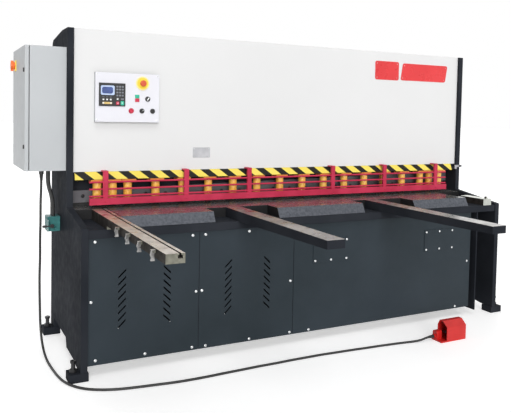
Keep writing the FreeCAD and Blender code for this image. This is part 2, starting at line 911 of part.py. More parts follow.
def swing_beam():
    plate = padded("swing_plate", "XZ_Plane",
                   [(-swing_half, raked(D.swing_low, -swing_half)),
                    (swing_half, raked(D.swing_low, swing_half)),
                    (swing_half, D.swing_top), (-swing_half, D.swing_top)],
                   (swing_front, swing_rear))
    pieces = [plate]
    rib_low = D.shelf_top + D.rib_rise
    rib_outline = [(swing_rear, rib_low), (swing_rear + D.rib_foot, rib_low),
                   (swing_rear + D.rib_reach, D.swing_top - D.rib_edge),
                   (swing_rear + D.rib_reach, D.swing_top), (swing_rear, D.swing_top)]
    rib_count = int(D.rib_count.value)
    for index in range(rib_count):
        centre = D.rib_pitch * (index - (rib_count - 1) / 2)
        pieces.append(padded("swing_rib_%d" % index, "YZ_Plane", rib_outline,
                             (centre - D.rib_thick / 2, centre + D.rib_thick / 2)))
    flange_half = D.rib_pitch * (rib_count - 1) / 2 + D.rib_thick / 2
    pieces.append(block("swing_top_flange", (-flange_half, flange_half),
                        (swing_rear, swing_rear + D.rib_reach),
                        (D.swing_top - D.rib_thick, D.swing_top)))
    arm_outline = [(swing_rear, D.shelf_top - D.shelf_thick), (D.pivot_rear, D.pivot_height - D.pivot_boss),
                   (D.pivot_rear + D.pivot_pad, D.pivot_height - D.pivot_boss),
                   (D.pivot_rear + D.pivot_pad, D.pivot_height + D.pivot_boss),
                   (D.pivot_rear, D.pivot_height + D.pivot_boss), (swing_rear, D.swing_top)]
    for name, flip in (("left", -1), ("right", 1)):
        arm = sorted((swing_half * flip, (swing_half - D.swing_arm_thick) * flip), key=lambda x: x.value)
        plate_arm = padded(name + "_swing_arm", "YZ_Plane", arm_outline, arm)
        bore = rod(name + "_arm_bore", "X", (arm[0] - D.bore_over, D.pivot_rear, D.pivot_height),
                   D.pivot_radius + D.pivot_play, D.swing_arm_thick + D.bore_over * 2)
        pieces.append(cut(name + "_bored_arm", plate_arm, bore))
        middle = D.cylinder_place * flip
        shelf = sorted((middle - D.shelf_width / 2 * flip, swing_half * flip - D.swing_arm_thick * flip),
                       key=lambda x: x.value)
        pieces.append(block(name + "_shelf", shelf, (swing_rear, swing_rear + D.shelf_reach),
                            (D.shelf_top - D.shelf_thick, D.shelf_top)))
    node("swing_beam", fuse("swing_beam_weldment", pieces))
    blade = [(-blade_half, raked(D.plunger_low, -blade_half)),
             (blade_half, raked(D.plunger_low, blade_half)),
             (blade_half, raked(D.plunger_low, blade_half) + D.blade_height),
             (-blade_half, raked(D.plunger_low, -blade_half) + D.blade_height)]
    node("upper_blade", padded("upper_blade_bar", "XZ_Plane", blade,
                               (upper_blade_front, upper_blade_front + D.blade_thick)))
    pins = []
    reach = D.swing_side_gap + D.swing_arm_thick + D.pin_proud
    for name, start in (("left", -half_span), ("right", half_span - reach)):
        pins.append(rod(name + "_pivot_pin", "X", (start, D.pivot_rear, D.pivot_height),
                        D.pivot_radius, reach))
    node("pivot_pins", pins)


swing_beam()


# Main cylinders under their cross beam, with rams resting over the swing beam's shelves
def main_cylinders():
    barrels = []
    rams = []
    for name, flip in (("left", -1), ("right", 1)):
        x = D.cylinder_place * flip
        barrel = rod(name + "_cylinder_barrel", "Z", (x, D.cylinder_axis, D.cylinder_low),
                     D.cylinder_radius, D.cylinder_high - D.cylinder_low)
        bore = rod(name + "_cylinder_bore", "Z", (x, D.cylinder_axis, D.cylinder_low),
                   D.ram_radius + D.ram_play, D.ram_inside + D.ram_bore_spare)
        barrels.append(cut(name + "_cylinder", barrel, bore))
        tip = D.shelf_top + D.ram_gap + D.ram_radius
        rams.append(fuse(name + "_ram", [
            ball(name + "_ram_tip", (x, D.cylinder_axis, tip), D.ram_radius),
            rod(name + "_ram_shaft", "Z", (x, D.cylinder_axis, tip), D.ram_radius,
                D.cylinder_low + D.ram_inside - tip)]))
    node("main_cylinders", barrels)
    node("cylinder_rams", rams)
    node("cylinder_beam", block("cylinder_cross_beam", (-half_span, half_span),
                                (D.cylinder_beam_front, D.cylinder_beam_rear),
                                (D.cylinder_high, D.cylinder_high + D.cylinder_beam_height)))


main_cylinders()


# Oil tank across the top with the pump motor on it
def oil_tank():
    low = D.cylinder_high + D.cylinder_beam_height
    top = low + D.tank_height
    node("oil_tank", block("tank_shell", (-D.tank_half, D.tank_half), (D.tank_front, D.tank_rear),
                           (low, top)))
    middle = (D.tank_front + D.tank_rear) / 2
    axis_z = top + D.motor_rise + D.motor_radius
    motor = rod("motor_case", "X", (D.motor_place, middle, axis_z), D.motor_radius, D.motor_length)
    base = block("motor_base", (D.motor_place + D.motor_foot_inset,
                                D.motor_place + D.motor_length - D.motor_foot_inset),
                 (middle - D.motor_foot_half, middle + D.motor_foot_half),
                 (top, top + D.motor_rise + D.motor_foot_sink))
    pump = rod("pump_body", "X", (D.motor_place - D.pump_length, middle, axis_z), D.pump_radius,
               D.pump_length)
    node("pump_motor", fuse("pump_set", [motor, base, pump]))


oil_tank()


# Back gauge carried by the swing beam: two rails with screws, a stop beam and a motor
def back_gauge():
    rails = []
    start = swing_rear
    for name, flip in (("left", -1), ("right", 1)):
        x = D.gauge_place * flip
        rails.append(block(name + "_gauge_rail", (x - D.gauge_width / 2, x + D.gauge_width / 2),
                           (start, D.gauge_reach), (D.gauge_low, D.gauge_low + D.gauge_height)))
    stop_low = D.gauge_low - D.gauge_stop_height
    rails.append(block("gauge_stop_beam", (-D.gauge_stop_half, D.gauge_stop_half),
                       (D.gauge_stop, D.gauge_stop + D.gauge_stop_depth), (stop_low, D.gauge_low)))
    rails.append(rod("gauge_motor_case", "Y",
                     (-D.gauge_place, D.gauge_reach, D.gauge_low + D.gauge_height / 2),
                     D.gauge_motor_radius, D.gauge_motor_length))
    node("back_gauge", fuse("back_gauge_frame", rails))


back_gauge()


# Red finger guard in front of the hold-downs
def finger_guard():
    places = (-D.guard_post_end_left, -D.guard_post_second, -D.guard_post_third,
              D.guard_post_fourth, D.guard_post_fifth, D.guard_post_end_right)
    back = -D.guard_plane
    front = back - D.guard_post_thick
    posts = []
    for number, x in enumerate(places):
        half = D.guard_post_width / 2
        upright = block("guard_post_%d" % number, (x - half, x + half), (front, back),
                        (D.guard_bar_low + D.guard_bar_height, D.guard_top))
        arm = block("guard_arm_%d" % number, (x - half, x + half), (front, size(0)),
                    (D.cover_low + D.guard_arm_gap, D.guard_top))
        posts.append(fuse("guard_bracket_%d" % number, [upright, arm]))
    bar = block("guard_bar", (-D.guard_left, D.guard_right), (front - D.guard_bar_thick, back),
                (D.guard_bar_low, D.guard_bar_low + D.guard_bar_height))
    rods = []
    for row in range(int(D.guard_rod_count.value)):
        z = D.guard_rod_low + D.guard_rod_pitch * row
        rods.append(rod("guard_rod_%d" % row, "X", (-D.guard_left, (front + back) / 2, z),
                        D.guard_rod_radius, D.guard_left + D.guard_right))
    node("finger_guard", fuse("finger_guard_frame", posts + [bar] + rods))


finger_guard()


# Electrical cabinet on the left frame: open box, door, locks, hinges and main switch
def cabinet():
    inner = -frame_outer
    wall = D.cabinet_wall
    box = block("cabinet_box", (cabinet_open, inner), (D.cabinet_front, D.cabinet_rear),
                (D.cabinet_low, D.cabinet_high))
    room = block("cabinet_room", (cabinet_open - D.bore_over, inner - wall),
                 (D.cabinet_front + wall, D.cabinet_rear - wall),
                 (D.cabinet_low + wall, D.cabinet_high - wall))
    shell = cut("cabinet_shell", box, room)
    fixed_hinges, door_hinges = cabinet_hinges()
    node("cabinet", fuse("cabinet_with_hinges", [shell] + fixed_hinges))
    sheet_door = block("door_sheet", (cabinet_outer, door_inner), (D.cabinet_front, D.cabinet_rear),
                       (D.cabinet_low, D.cabinet_high))
    hollow = block("door_hollow", (cabinet_outer + wall, door_inner + D.bore_over),
                   (D.cabinet_front + wall, D.cabinet_rear - wall),
                   (D.cabinet_low + wall, D.cabinet_high - wall))
    pieces = [cut("door_pan", sheet_door, hollow)] + door_hinges
    for name, z in (("lower", D.cabinet_low + D.lock_inset), ("upper", D.cabinet_high - D.lock_inset)):
        pieces.append(rod(name + "_lock", "X", (cabinet_outer - D.lock_proud,
                                                D.cabinet_front + D.lock_from_front, z),
                          D.lock_radius, D.lock_proud + wall))
    middle_y = D.cabinet_rear - D.switch_from_rear
    switch_height = D.cabinet_high - D.switch_from_top
    half = D.switch_size / 2
    pieces.append(block("main_switch_plate", (switch_face, cabinet_outer),
                        (middle_y - half, middle_y + half),
                        (switch_height - half, switch_height + half)))
    node("cabinet_door", fuse("cabinet_door_panel", pieces))
    knob = rod("switch_knob", "X", (switch_tip, middle_y, switch_height), D.switch_radius,
               D.switch_depth - D.button_play)
    grip = block("switch_grip", (switch_tip, switch_face - D.switch_grip_gap),
                 (middle_y - D.switch_grip_half, middle_y + D.switch_grip_half),
                 (switch_height - half, switch_height + half))
    node("main_switch", fuse("main_switch_handle", [knob, grip]))


def cabinet_hinges():
    """Fixed and moving halves of the two hinges at the cabinet's rear edge"""
    pin_x = cabinet_outer + D.hinge_radius
    stand = D.cabinet_rear + D.hinge_stand
    pin_y = stand + D.hinge_radius
    leaf_back = stand + D.hinge_leaf
    fixed = []
    moving = []
    for name, z in (("lower", D.cabinet_low + D.hinge_inset), ("upper", D.cabinet_high - D.hinge_inset)):
        half = D.hinge_length / 2
        gap = D.hinge_play
        barrel = rod(name + "_fixed_knuckle", "Z", (pin_x, pin_y, z - half), D.hinge_radius, half - gap)
        leaf = block(name + "_fixed_leaf", (pin_x, cabinet_open + D.hinge_seat), (stand, leaf_back),
                     (z - half, z - gap))
        seat = block(name + "_fixed_seat", (cabinet_open, cabinet_open + D.hinge_seat),
                     (D.cabinet_rear, leaf_back), (z - half, z - gap))
        fixed.append(fuse(name + "_fixed_hinge", [barrel, leaf, seat]))
        door_barrel = rod(name + "_door_knuckle", "Z", (pin_x, pin_y, z + gap), D.hinge_radius,
                          half - gap)
        door_leaf = block(name + "_door_leaf", (pin_x, door_inner), (D.cabinet_rear, leaf_back),
                          (z + gap, z + half))
        moving.append(fuse(name + "_door_hinge", [door_barrel, door_leaf]))
    return fixed, moving


cabinet()


# Control box on the cover with its screen and operating pieces
def round_buttons():
    """Name, X and Z of each round operating piece on the control box"""
    row = -D.button_row_left
    return (
        ("red_button", row, D.button_row_height),
        ("stroke_selector", row + D.button_pitch, D.button_row_height),
        ("black_button", row + D.button_pitch * 2, D.button_row_height),
        ("mode_selector", -D.selector_place, D.selector_height),
    )


def double_button():
    """Name, X and Z of the two halves of the start and stop button"""
    half = D.double_button_height / 2 + D.button_play
    return (("start_button", -D.double_button_place, D.double_button_middle + half),
            ("stop_button", -D.double_button_place, D.double_button_middle - half))


def key_block(name, x, z, y, clearance):
    """A square key or its hole, with the clearance added all round"""
    half = D.double_button_width / 2 + clearance
    half_high = D.double_button_height / 2 + clearance
    return block(name, (x - half, x + half), y, (z - half_high, z + half_high))


def control_box():
    face = -D.panel_box_proud
    start = face - D.bore_over
    depth = face + D.button_inside + D.button_travel + D.button_hole_spare
    case = block("control_case", (-D.panel_box_left, -D.panel_box_right), (face, size(0)),
                 (D.panel_box_low, D.panel_box_high))
    holes = [rod("emergency_hole", "Y", (-D.stop_place, start, D.stop_height),
                 D.stop_stem_radius + D.button_play, depth - start)]
    for name, x, z in round_buttons():
        holes.append(rod(name + "_hole", "Y", (x, start, z), D.button_radius + D.button_play,
                         depth - start))
    middle_z = D.double_button_middle
    half = D.double_button_width / 2 + D.button_play
    half_high = D.double_button_height + D.button_play * 2
    holes.append(block("double_button_hole",
                       (-D.double_button_place - half, -D.double_button_place + half),
                       (start, depth), (middle_z - half_high, middle_z + half_high)))
    node("control_box", cut("control_box_case", case, fuse("control_holes", holes)))
    node("controller", block("controller_case", (-D.screen_left, -D.screen_right),
                             (face - D.screen_proud, face), (D.screen_low, D.screen_high)))
    disc = rod("stop_disc", "Y", (-D.stop_place, face - D.stop_disc_thick, D.stop_height),
               D.stop_disc_radius, D.stop_disc_thick)
    opening = rod("stop_disc_opening", "Y",
                  (-D.stop_place, start - D.stop_disc_thick, D.stop_height),
                  D.stop_stem_radius + D.button_play, D.stop_disc_thick + D.bore_over * 2)
    node("emergency_disc", cut("emergency_disc_plate", disc, opening))


def control_pieces():
    face = -D.panel_box_proud
    stem_start = face - D.stop_disc_thick - D.stop_head_gap
    node("emergency_stop", fuse("emergency_mushroom", [
        rod("mushroom_head", "Y", (-D.stop_place, stem_start - D.stop_head_height, D.stop_height),
            D.stop_head_radius, D.stop_head_height),
        rod("mushroom_stem", "Y", (-D.stop_place, stem_start, D.stop_height), D.stop_stem_radius,
            face + D.button_inside - stem_start)]))
    for name, x, z in round_buttons():
        node(name, rod(name + "_head", "Y", (x, face - D.button_head, z), D.button_radius,
                       D.button_head + D.button_inside))
    for name, x, z in double_button():
        node(name, key_block(name + "_key", x, z, (face - D.button_head / 2, face + D.button_inside),
                             size(0)))


control_box()
control_pieces()


# Arms in front of the table and the short guide at its right end
def support_arm(name, centre):
    """A bar that lies in its recess and tapers from the table's edge to its tip"""
    half = D.arm_width / 2
    root = -(D.recess_back + D.root_gap)
    side = [(root, D.table_top), (table_front, D.table_top), (arm_end, bed_top - D.arm_tip),
            (arm_end, bed_top), (root, bed_top)]
    node(name, padded(name + "_bar", "YZ_Plane", side, (centre - half, centre + half)))


def squaring_arm():
    left = -D.squaring_left
    right = left + D.squaring_width
    root = -(D.bed_end_back + D.root_gap)
    low = bed_top - D.squaring_height
    slot = right - D.slot_place
    slit = D.slot_width / 2
    head = D.slot_head / 2
    lip = bed_top - D.slot_lip
    floor = bed_top - D.slot_depth
    corners = [(left, low), (right, low), (right, bed_top), (slot + slit, bed_top), (slot + slit, lip),
               (slot + head, lip), (slot + head, floor), (slot - head, floor), (slot - head, lip),
               (slot - slit, lip), (slot - slit, bed_top), (left, bed_top)]
    bar = padded("squaring_bar", "XZ_Plane", corners, (arm_end, root))
    packer = block("squaring_packer", (left, right), (table_front, root), (D.table_top, low))
    pieces = [bar, packer]
    pin_x = left - D.stop_pin_offset
    pin_z = bed_top - D.stop_pin_drop
    for number in range(int(D.stop_count.value)):
        name = "stop_%d" % (number + 1)
        y = -D.stop_first - D.stop_pitch * number
        ear_front = y + D.stop_thick + D.stop_side_gap
        pieces.append(block(name + "_ear", (left - D.stop_pin_offset - D.stop_ear_half, left),
                            (ear_front, ear_front + D.stop_ear_thick),
                            (pin_z - D.stop_ear_half, pin_z + D.stop_ear_half)))
        pieces.append(rod(name + "_pin", "Y", (pin_x, y, pin_z), D.stop_pin_radius,
                          D.stop_thick + D.stop_side_gap + D.bore_over))
        flip_stop(name, pin_x, y, pin_z)
    node("squaring_arm", fuse("squaring_arm_bar", pieces))


def flip_stop(name, x, y, z):
    """A hook-shaped stop that hangs beside the arm from its pin"""
    eye = D.stop_eye_radius
    tip = z - D.stop_drop
    waist = z - D.stop_waist
    outline = [(x - eye, z + eye, D.stop_eye_round), (x - eye - D.stop_bow, waist, D.stop_curve),
               (x - eye, tip + D.stop_toe_rise, D.stop_toe_curve), (x - eye - D.stop_toe, tip),
               (x + eye, tip), (x + eye - D.stop_neck, waist, D.stop_curve),
               (x + eye, z + eye, D.stop_eye_round)]
    plate = padded(name + "_hook", "XZ_Plane", outline, (y, y + D.stop_thick))
    bore = rod(name + "_bore", "Y", (x, y - D.bore_over, z), D.stop_pin_radius + D.stop_play,
               D.stop_thick + D.bore_over * 2)
    node("flip_" + name, cut(name + "_bored", plate, bore))


def side_guide():
    left = D.side_guide_left
    right = left + D.side_guide_width
    top = D.table_top + D.side_guide_height
    bar = block("side_guide_bar", (left, right), (table_front, -D.side_guide_rear),
                (D.table_top, top))
    knob = rod("side_guide_knob", "Z", ((left + right) / 2 + D.knob_place,
                                        table_front + D.knob_from_front, top),
               D.knob_radius, D.knob_height)
    node("side_guide", fuse("side_guide_bar_and_knob", [bar, knob]))


support_arm("support_arm_left", -D.left_arm_place)
support_arm("support_arm_right", D.right_arm_place)
squaring_arm()
side_guide()


# Valve box with its lever on the left frame
def valve_box():
    outer = -frame_outer
    box = block("valve_case", (outer - D.valve_width, outer),
                (D.valve_front, D.valve_front + D.valve_depth), (D.valve_low, D.valve_high))
    lever = rod("valve_lever", "Y", (outer - D.valve_width / 2, D.valve_front - D.lever_length,
                                     D.valve_low + D.lever_rise), D.lever_radius, D.lever_length)
    node("valve_box", fuse("valve_box_case", [box, lever]))


valve_box()


def tube_path(points, share=0.45):
    """Straight runs joined by tangent arcs; gives the edges and the arcs' radii"""
    edges = []
    radii = []
    start = points[0]
    for before, corner, after in zip(points, points[1:], points[2:]):
        back = before - corner
        ahead = after - corner
        reach = share * min(back.Length, ahead.Length)
        back.normalize()
        ahead.normalize()
        half_turn = (math.pi - back.getAngle(ahead)) / 2
        radius = reach / math.tan(half_turn)
        radii.append(radius)
        first = corner + back * reach
        last = corner + ahead * reach
        towards = (back + ahead).normalize()
        centre = corner + towards * (radius / math.cos(half_turn))
        edges.append(Part.LineSegment(start, first).toShape())
        edges.append(Part.Arc(first, centre - towards * radius, last).toShape())
        start = last
    edges.append(Part.LineSegment(start, points[-1]).toShape())
    return edges, radii


def tube(name, points, radius):
    """A round tube along the points, as a feature with its own shape"""
    edges, radii = tube_path(points)
    path = Part.Wire(edges)
    direction = points[1] - points[0]
    circle = Part.Wire(Part.Circle(points[0], direction, radius).toShape())
    item = doc.addObject("Part::Feature", name)
    item.Shape = path.makePipeShell([circle], True, True)
    section = math.pi * radius ** 2
    length = path.Length
    if abs(item.Shape.Volume - section * length) > 0.01 * section * length:
        raise RuntimeError("the tube of %s has the wrong volume" % name)
    print("%s: %.0f mm long, smallest radius %.0f mm" % (name, length, min(radii)))
    return item


# Conduits from the cabinet's underside down to the valve box
def conduits():
    top_x = frame_outer.value + D.conduit_out.value
    low_x = frame_outer.value + D.valve_width.value / 2
    lines = []
    count = int(D.conduit_count.value)
    straight = D.conduit_straight.value
    for number in range(count):
        step = D.conduit_pitch.value * (number - (count - 1) / 2)
        y = D.valve_front.value + D.valve_depth.value / 2 + step
        points = [FreeCAD.Vector(-top_x, y, D.cabinet_low.value),
                  FreeCAD.Vector(-top_x, y, D.cabinet_low.value - straight),
                  FreeCAD.Vector(-low_x, y, D.valve_high.value + straight),
                  FreeCAD.Vector(-low_x, y, D.valve_high.value)]
        lines.append(tube("conduit_%d" % number, points, D.conduit_radius.value))
    node("conduits", lines)


conduits()


# Route of the foot cable, in the machine frame, from the cabinet to the foot switch
CABLE_ROUTE = (
    (-1785, 100, 1153), (-1785, 100, 1080), (-1789, 99, 965), (-1788, 101, 850), (-1791, 100, 740),
    (-1790, 98, 625), (-1793, 100, 510), (-1792, 99, 395), (-1790, 98, 290), (-1789, 88, 195),
    (-1786, 55, 108), (-1780, -5, 42), (-1773, -85, 13), (-1767, -175, 9.2), (-1761, -262, 9),
    (-1752, -350, 9), (-1736, -432, 9), (-1702, -510, 9), (-1650, -575, 9), (-1576, -622, 9),
    (-1486, -655, 9), (-1385, -672, 9), (-1275, -684, 9), (-1165, -698, 9), (-1052, -702, 9),
    (-940, -700, 9), (-828, -694, 9), (-716, -691, 9), (-604, -686, 9), (-492, -687, 9),
    (-380, -682, 9), (-268, -683, 9), (-156, -682, 9), (-44, -689, 9), (68, -694, 9),
    (180, -703, 9), (292, -709, 9), (398, -718, 9), (494, -728, 9), (568, -740, 9.6),
    (622, -752, 16), (672, -757, 30), (724, -757, 30),
)


# Foot switch on the floor: base, hood open to the left, terminal housing and pedal
def hood_profile(inset, roundness):
    """Outline of the hood across Y, drawn in by the inset on its sides and roof"""
    front = -D.foot_switch_front
    back = front + D.foot_switch_width
    side = D.hood_side_height - inset / 2
    top = D.hood_height - inset
    return [(front + inset, D.foot_switch_base), (back - inset, D.foot_switch_base),
            (back - inset, side, roundness), (back - D.hood_back_slope - inset / 2, top, roundness),
            (front + D.hood_front_slope + inset / 2, top, roundness),
            (front + inset, side, roundness)]


def terminal_housing(left):
    """Rounded housing in front of the hood, with the gland that the cable ends in"""
    top = D.foot_switch_base + D.terminal_height
    middle = -D.foot_switch_front + D.terminal_from_front
    half = D.terminal_width / 2
    corners = [(middle - half, D.foot_switch_base), (middle + half, D.foot_switch_base),
               (middle + half, top, D.terminal_round), (middle - half, top, D.terminal_round)]
    start = left + D.terminal_place
    housing = padded("terminal_housing", "YZ_Plane", corners, (start, start + D.terminal_length))
    last = CABLE_ROUTE[-1]
    nose = rod("switch_gland", "X", last, D.gland_radius, start - last[0])
    return [housing, nose]


def foot_switch():
    left = D.foot_switch_left
    right = left + D.foot_switch_length
    front = -D.foot_switch_front
    back = front + D.foot_switch_width
    wall = D.hood_wall
    hood_left = left + D.hood_place
    shell = padded("hood_outer", "YZ_Plane", hood_profile(size(0), D.hood_round), (hood_left, right))
    hollow = padded("hood_hollow", "YZ_Plane", hood_profile(wall, D.hood_round),
                    (hood_left - D.bore_over, right - wall))
    pin_x = hood_left + D.pedal_pin_place
    pin_z = D.foot_switch_base + D.pedal_pin_rise
    pin = rod("pedal_pin", "Y", (pin_x, front + wall / 2, pin_z), D.pedal_pin,
              D.foot_switch_width - wall)
    base = block("switch_base", (left, right), (front, back), (size(0), D.foot_switch_base))
    node("foot_switch", fuse("foot_switch_case", [cut("open_hood", shell, hollow), base, pin]
                             + terminal_housing(left)))
    lift = pin_z + D.pedal_lift
    eye = D.pedal_eye
    tip = pin_x - D.pedal_length
    pedal = [(tip, lift), (tip, lift + D.pedal_thick, D.pedal_edge),
             (pin_x + eye, pin_z + eye, D.pedal_eye_round),
             (pin_x + eye, pin_z - eye, D.pedal_eye_round), (pin_x - eye, pin_z - eye)]
    plate = padded("pedal_plate", "XZ_Plane", pedal,
                   (front + wall + D.pedal_side_gap, back - wall - D.pedal_side_gap))
    bore = rod("pedal_bore", "Y", (pin_x, front, pin_z), D.pedal_pin + D.pedal_play,
               D.foot_switch_width)
    node("pedal", cut("pedal_bored", plate, bore))


foot_switch()


def foot_cable():
    points = [FreeCAD.Vector(*spot) for spot in CABLE_ROUTE]
    node("foot_cable", tube("foot_cable_tube", points, D.cable_radius.value))
    gland = rod("cable_gland_body", "Z", (CABLE_ROUTE[0][0], CABLE_ROUTE[0][1],
                                          D.cabinet_low - D.gland_length), D.gland_radius,
                D.gland_length)
    node("cable_gland", gland)


foot_cable()


def check_and_export():
    """Stops if anything failed, then writes one file a sub-part"""
    doc.recompute()
    for item in doc.Objects:
        if "Invalid" in item.State or "Error" in item.State:
            raise RuntimeError("%s failed: %s" % (item.Name, item.State))
    os.makedirs("parts", exist_ok=True)
    for item in nodes:
        if item.Shape.isNull() or not item.Shape.isValid():
            raise RuntimeError("%s has no valid shape" % item.Label)
        item.Shape.exportStep("parts/%s.step" % item.Label)
    whole = Part.makeCompound([item.Shape for item in nodes])
    box = whole.BoundBox
    print("%d nodes, X %.1f..%.1f Y %.1f..%.1f Z %.1f..%.1f" % (
        len(nodes), box.XMin, box.XMax, box.YMin, box.YMax, box.ZMin, box.ZMax))


check_and_export()
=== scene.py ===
# %% [markdown]
# A hydraulic swing-beam shear stands in a plain studio. The rigid sub-parts come from the
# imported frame, and this lesson dresses them: it rounds their edges, adds the small
# fasteners, switches and fittings, and gives every surface its own finish.

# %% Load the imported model
import bpy
import bmesh
import json
import math
from mathutils import Matrix, Vector


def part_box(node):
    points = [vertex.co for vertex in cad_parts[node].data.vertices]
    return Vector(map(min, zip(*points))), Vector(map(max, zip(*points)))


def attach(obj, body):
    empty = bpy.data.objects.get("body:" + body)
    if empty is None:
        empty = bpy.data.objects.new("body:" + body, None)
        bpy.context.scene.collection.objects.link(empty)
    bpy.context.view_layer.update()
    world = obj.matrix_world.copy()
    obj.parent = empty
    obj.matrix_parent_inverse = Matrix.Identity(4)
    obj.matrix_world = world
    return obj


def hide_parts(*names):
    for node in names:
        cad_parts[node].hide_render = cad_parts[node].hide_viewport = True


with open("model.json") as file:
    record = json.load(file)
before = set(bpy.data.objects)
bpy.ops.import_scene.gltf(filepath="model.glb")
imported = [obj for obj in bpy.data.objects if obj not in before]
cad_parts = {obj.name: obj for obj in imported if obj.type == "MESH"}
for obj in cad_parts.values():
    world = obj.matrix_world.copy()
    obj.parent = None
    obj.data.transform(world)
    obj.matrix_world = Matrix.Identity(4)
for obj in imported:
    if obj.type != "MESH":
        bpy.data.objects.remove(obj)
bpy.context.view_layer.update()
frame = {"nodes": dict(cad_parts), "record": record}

# %% [markdown]
# The machine was measured from two planes of its own: the middle between its side frames
# and the front of the white cover, in millimetres. The next cell turns such a place into
# the frame's metres, so each piece can be given the numbers that a fitter would read.

# %% From millimetres on the machine to metres in the frame
MM = 0.001
left_frame_low, left_frame_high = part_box("side_frame_left")
right_frame_low, right_frame_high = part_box("side_frame_right")
machine_middle = (left_frame_low.x + right_frame_high.x) / 2
cover_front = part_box("front_cover")[0].y


def at(x, y, z):
    """A place on the machine in millimetres, as a point of the frame in metres"""
    return Vector((machine_middle + x * MM, cover_front + y * MM, z * MM))


print("machine middle", round(machine_middle, 4), "cover front", round(cover_front, 4))

# %% [markdown]
# The camera stands where the photographer stood: left of the machine, a little over head
# height, looking slightly down. Its turn, tilt and roll come from straight edges of the
# machine, and a lens shift keeps the uprights upright without tilting it further.

# %% Camera
CAMERA_PLACE = at(-2427, -4119, 1552)
CAMERA_YAW = math.radians(27.13)
CAMERA_PITCH = math.radians(2.55)
CAMERA_ROLL = math.radians(1.13)
CAMERA_LENS = 45.18
CAMERA_SHIFT_UP = -0.1229

look = Vector((math.sin(CAMERA_YAW) * math.cos(CAMERA_PITCH),
               math.cos(CAMERA_YAW) * math.cos(CAMERA_PITCH), -math.sin(CAMERA_PITCH)))
level_right = Vector((math.cos(CAMERA_YAW), -math.sin(CAMERA_YAW), 0))
level_up = level_right.cross(look)
camera_right = level_right * math.cos(CAMERA_ROLL) + level_up * math.sin(CAMERA_ROLL)
camera_up = level_up * math.cos(CAMERA_ROLL) - level_right * math.sin(CAMERA_ROLL)
bpy.ops.object.camera_add()
camera = bpy.context.object
camera.name = "camera"
camera.matrix_world = Matrix.Translation(CAMERA_PLACE) @ Matrix((
    camera_right, camera_up, -look)).transposed().to_4x4()
camera.data.sensor_width = 36
camera.data.lens = CAMERA_LENS
camera.data.shift_y = CAMERA_SHIFT_UP
camera.data.clip_end = 200
bpy.context.scene.camera = camera
print("camera at", [round(v, 3) for v in camera.location])

# %% [markdown]
# The foot cable is 4.14 m of rubber-sheathed control cable, 15 mm thick. It hangs from a
# gland under the cabinet, meets the floor and runs along the front of the machine to the
# foot switch. A NURBS curve through a few control points bends as such a cable does,
# because it has no corners, and a round bevel gives it its thickness.

# %% Foot cable
CABLE_DIAMETER = 0.015
CABLE_ROUTE = (
    (-1785, 100, 1153), (-1785, 100, 1080), (-1789, 99, 965), (-1788, 101, 850), (-1791, 100, 740),
    (-1790, 98, 625), (-1793, 100, 510), (-1792, 99, 395), (-1790, 98, 290), (-1789, 88, 195),
    (-1786, 55, 108), (-1780, -5, 42), (-1773, -85, 13), (-1767, -175, 9.2), (-1761, -262, 9),
    (-1752, -350, 9), (-1736, -432, 9), (-1702, -510, 9), (-1650, -575, 9), (-1576, -622, 9),
    (-1486, -655, 9), (-1385, -672, 9), (-1275, -684, 9), (-1165, -698, 9), (-1052, -702, 9),
    (-940, -700, 9), (-828, -694, 9), (-716, -691, 9), (-604, -686, 9), (-492, -687, 9),
    (-380, -682, 9), (-268, -683, 9), (-156, -682, 9), (-44, -689, 9), (68, -694, 9),
    (180, -703, 9), (292, -709, 9), (398, -718, 9), (494, -728, 9), (568, -740, 9.6),
    (622, -752, 16), (672, -757, 30), (724, -757, 30),
)


def round_line(name, places, diameter, resolution=12):
    """A smooth round line through control points, as one open NURBS spline"""
    curve = bpy.data.curves.new(name, "CURVE")
    curve.dimensions = "3D"
    spline = curve.splines.new("NURBS")
    spline.points.add(len(places) - 1)
    for point, place in zip(spline.points, places):
        point.co = (*at(*place), 1)
        point.radius = diameter / 2
    spline.order_u = 3
    spline.use_endpoint_u = True
    spline.resolution_u = resolution
    curve.bevel_depth = 1
    curve.bevel_resolution = 4
    curve.use_fill_caps = True
    line = bpy.data.objects.new(name, curve)
    bpy.context.scene.collection.objects.link(line)
    return line


foot_cable = round_line("foot_cable_sheath", CABLE_ROUTE, CABLE_DIAMETER)
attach(foot_cable, "frame")
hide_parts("foot_cable")
print("foot cable made with", len(CABLE_ROUTE), "control points")

# %% [markdown]
# The next helpers are the hand tools of this lesson. Each one adds a primitive at its
# place, or works on faces and edges chosen by where they lie, and leaves an object whose
# place is in its mesh and whose own position is the frame's origin.

# %% Hand tools for modelling
BODY_OF = {}
for body_name, members in frame["record"]["behaviour"]["bodies"].items():
    for member in members:
        BODY_OF[member] = body_name
SLOT_OF = {part["node"]: part["material_slot"] for part in frame["record"]["subparts"]}


def only(thing):
    """Makes the thing the one selected and active object"""
    bpy.ops.object.select_all(action="DESELECT")
    thing.hide_set(False)
    thing.select_set(True)
    bpy.context.view_layer.objects.active = thing
    return thing


def settle(thing, name=None):
    """Puts the thing's place, turn and size into its mesh"""
    only(thing)
    bpy.ops.object.transform_apply(location=True, rotation=True, scale=True)
    if name:
        thing.name = name
        thing.data.name = name
    return thing


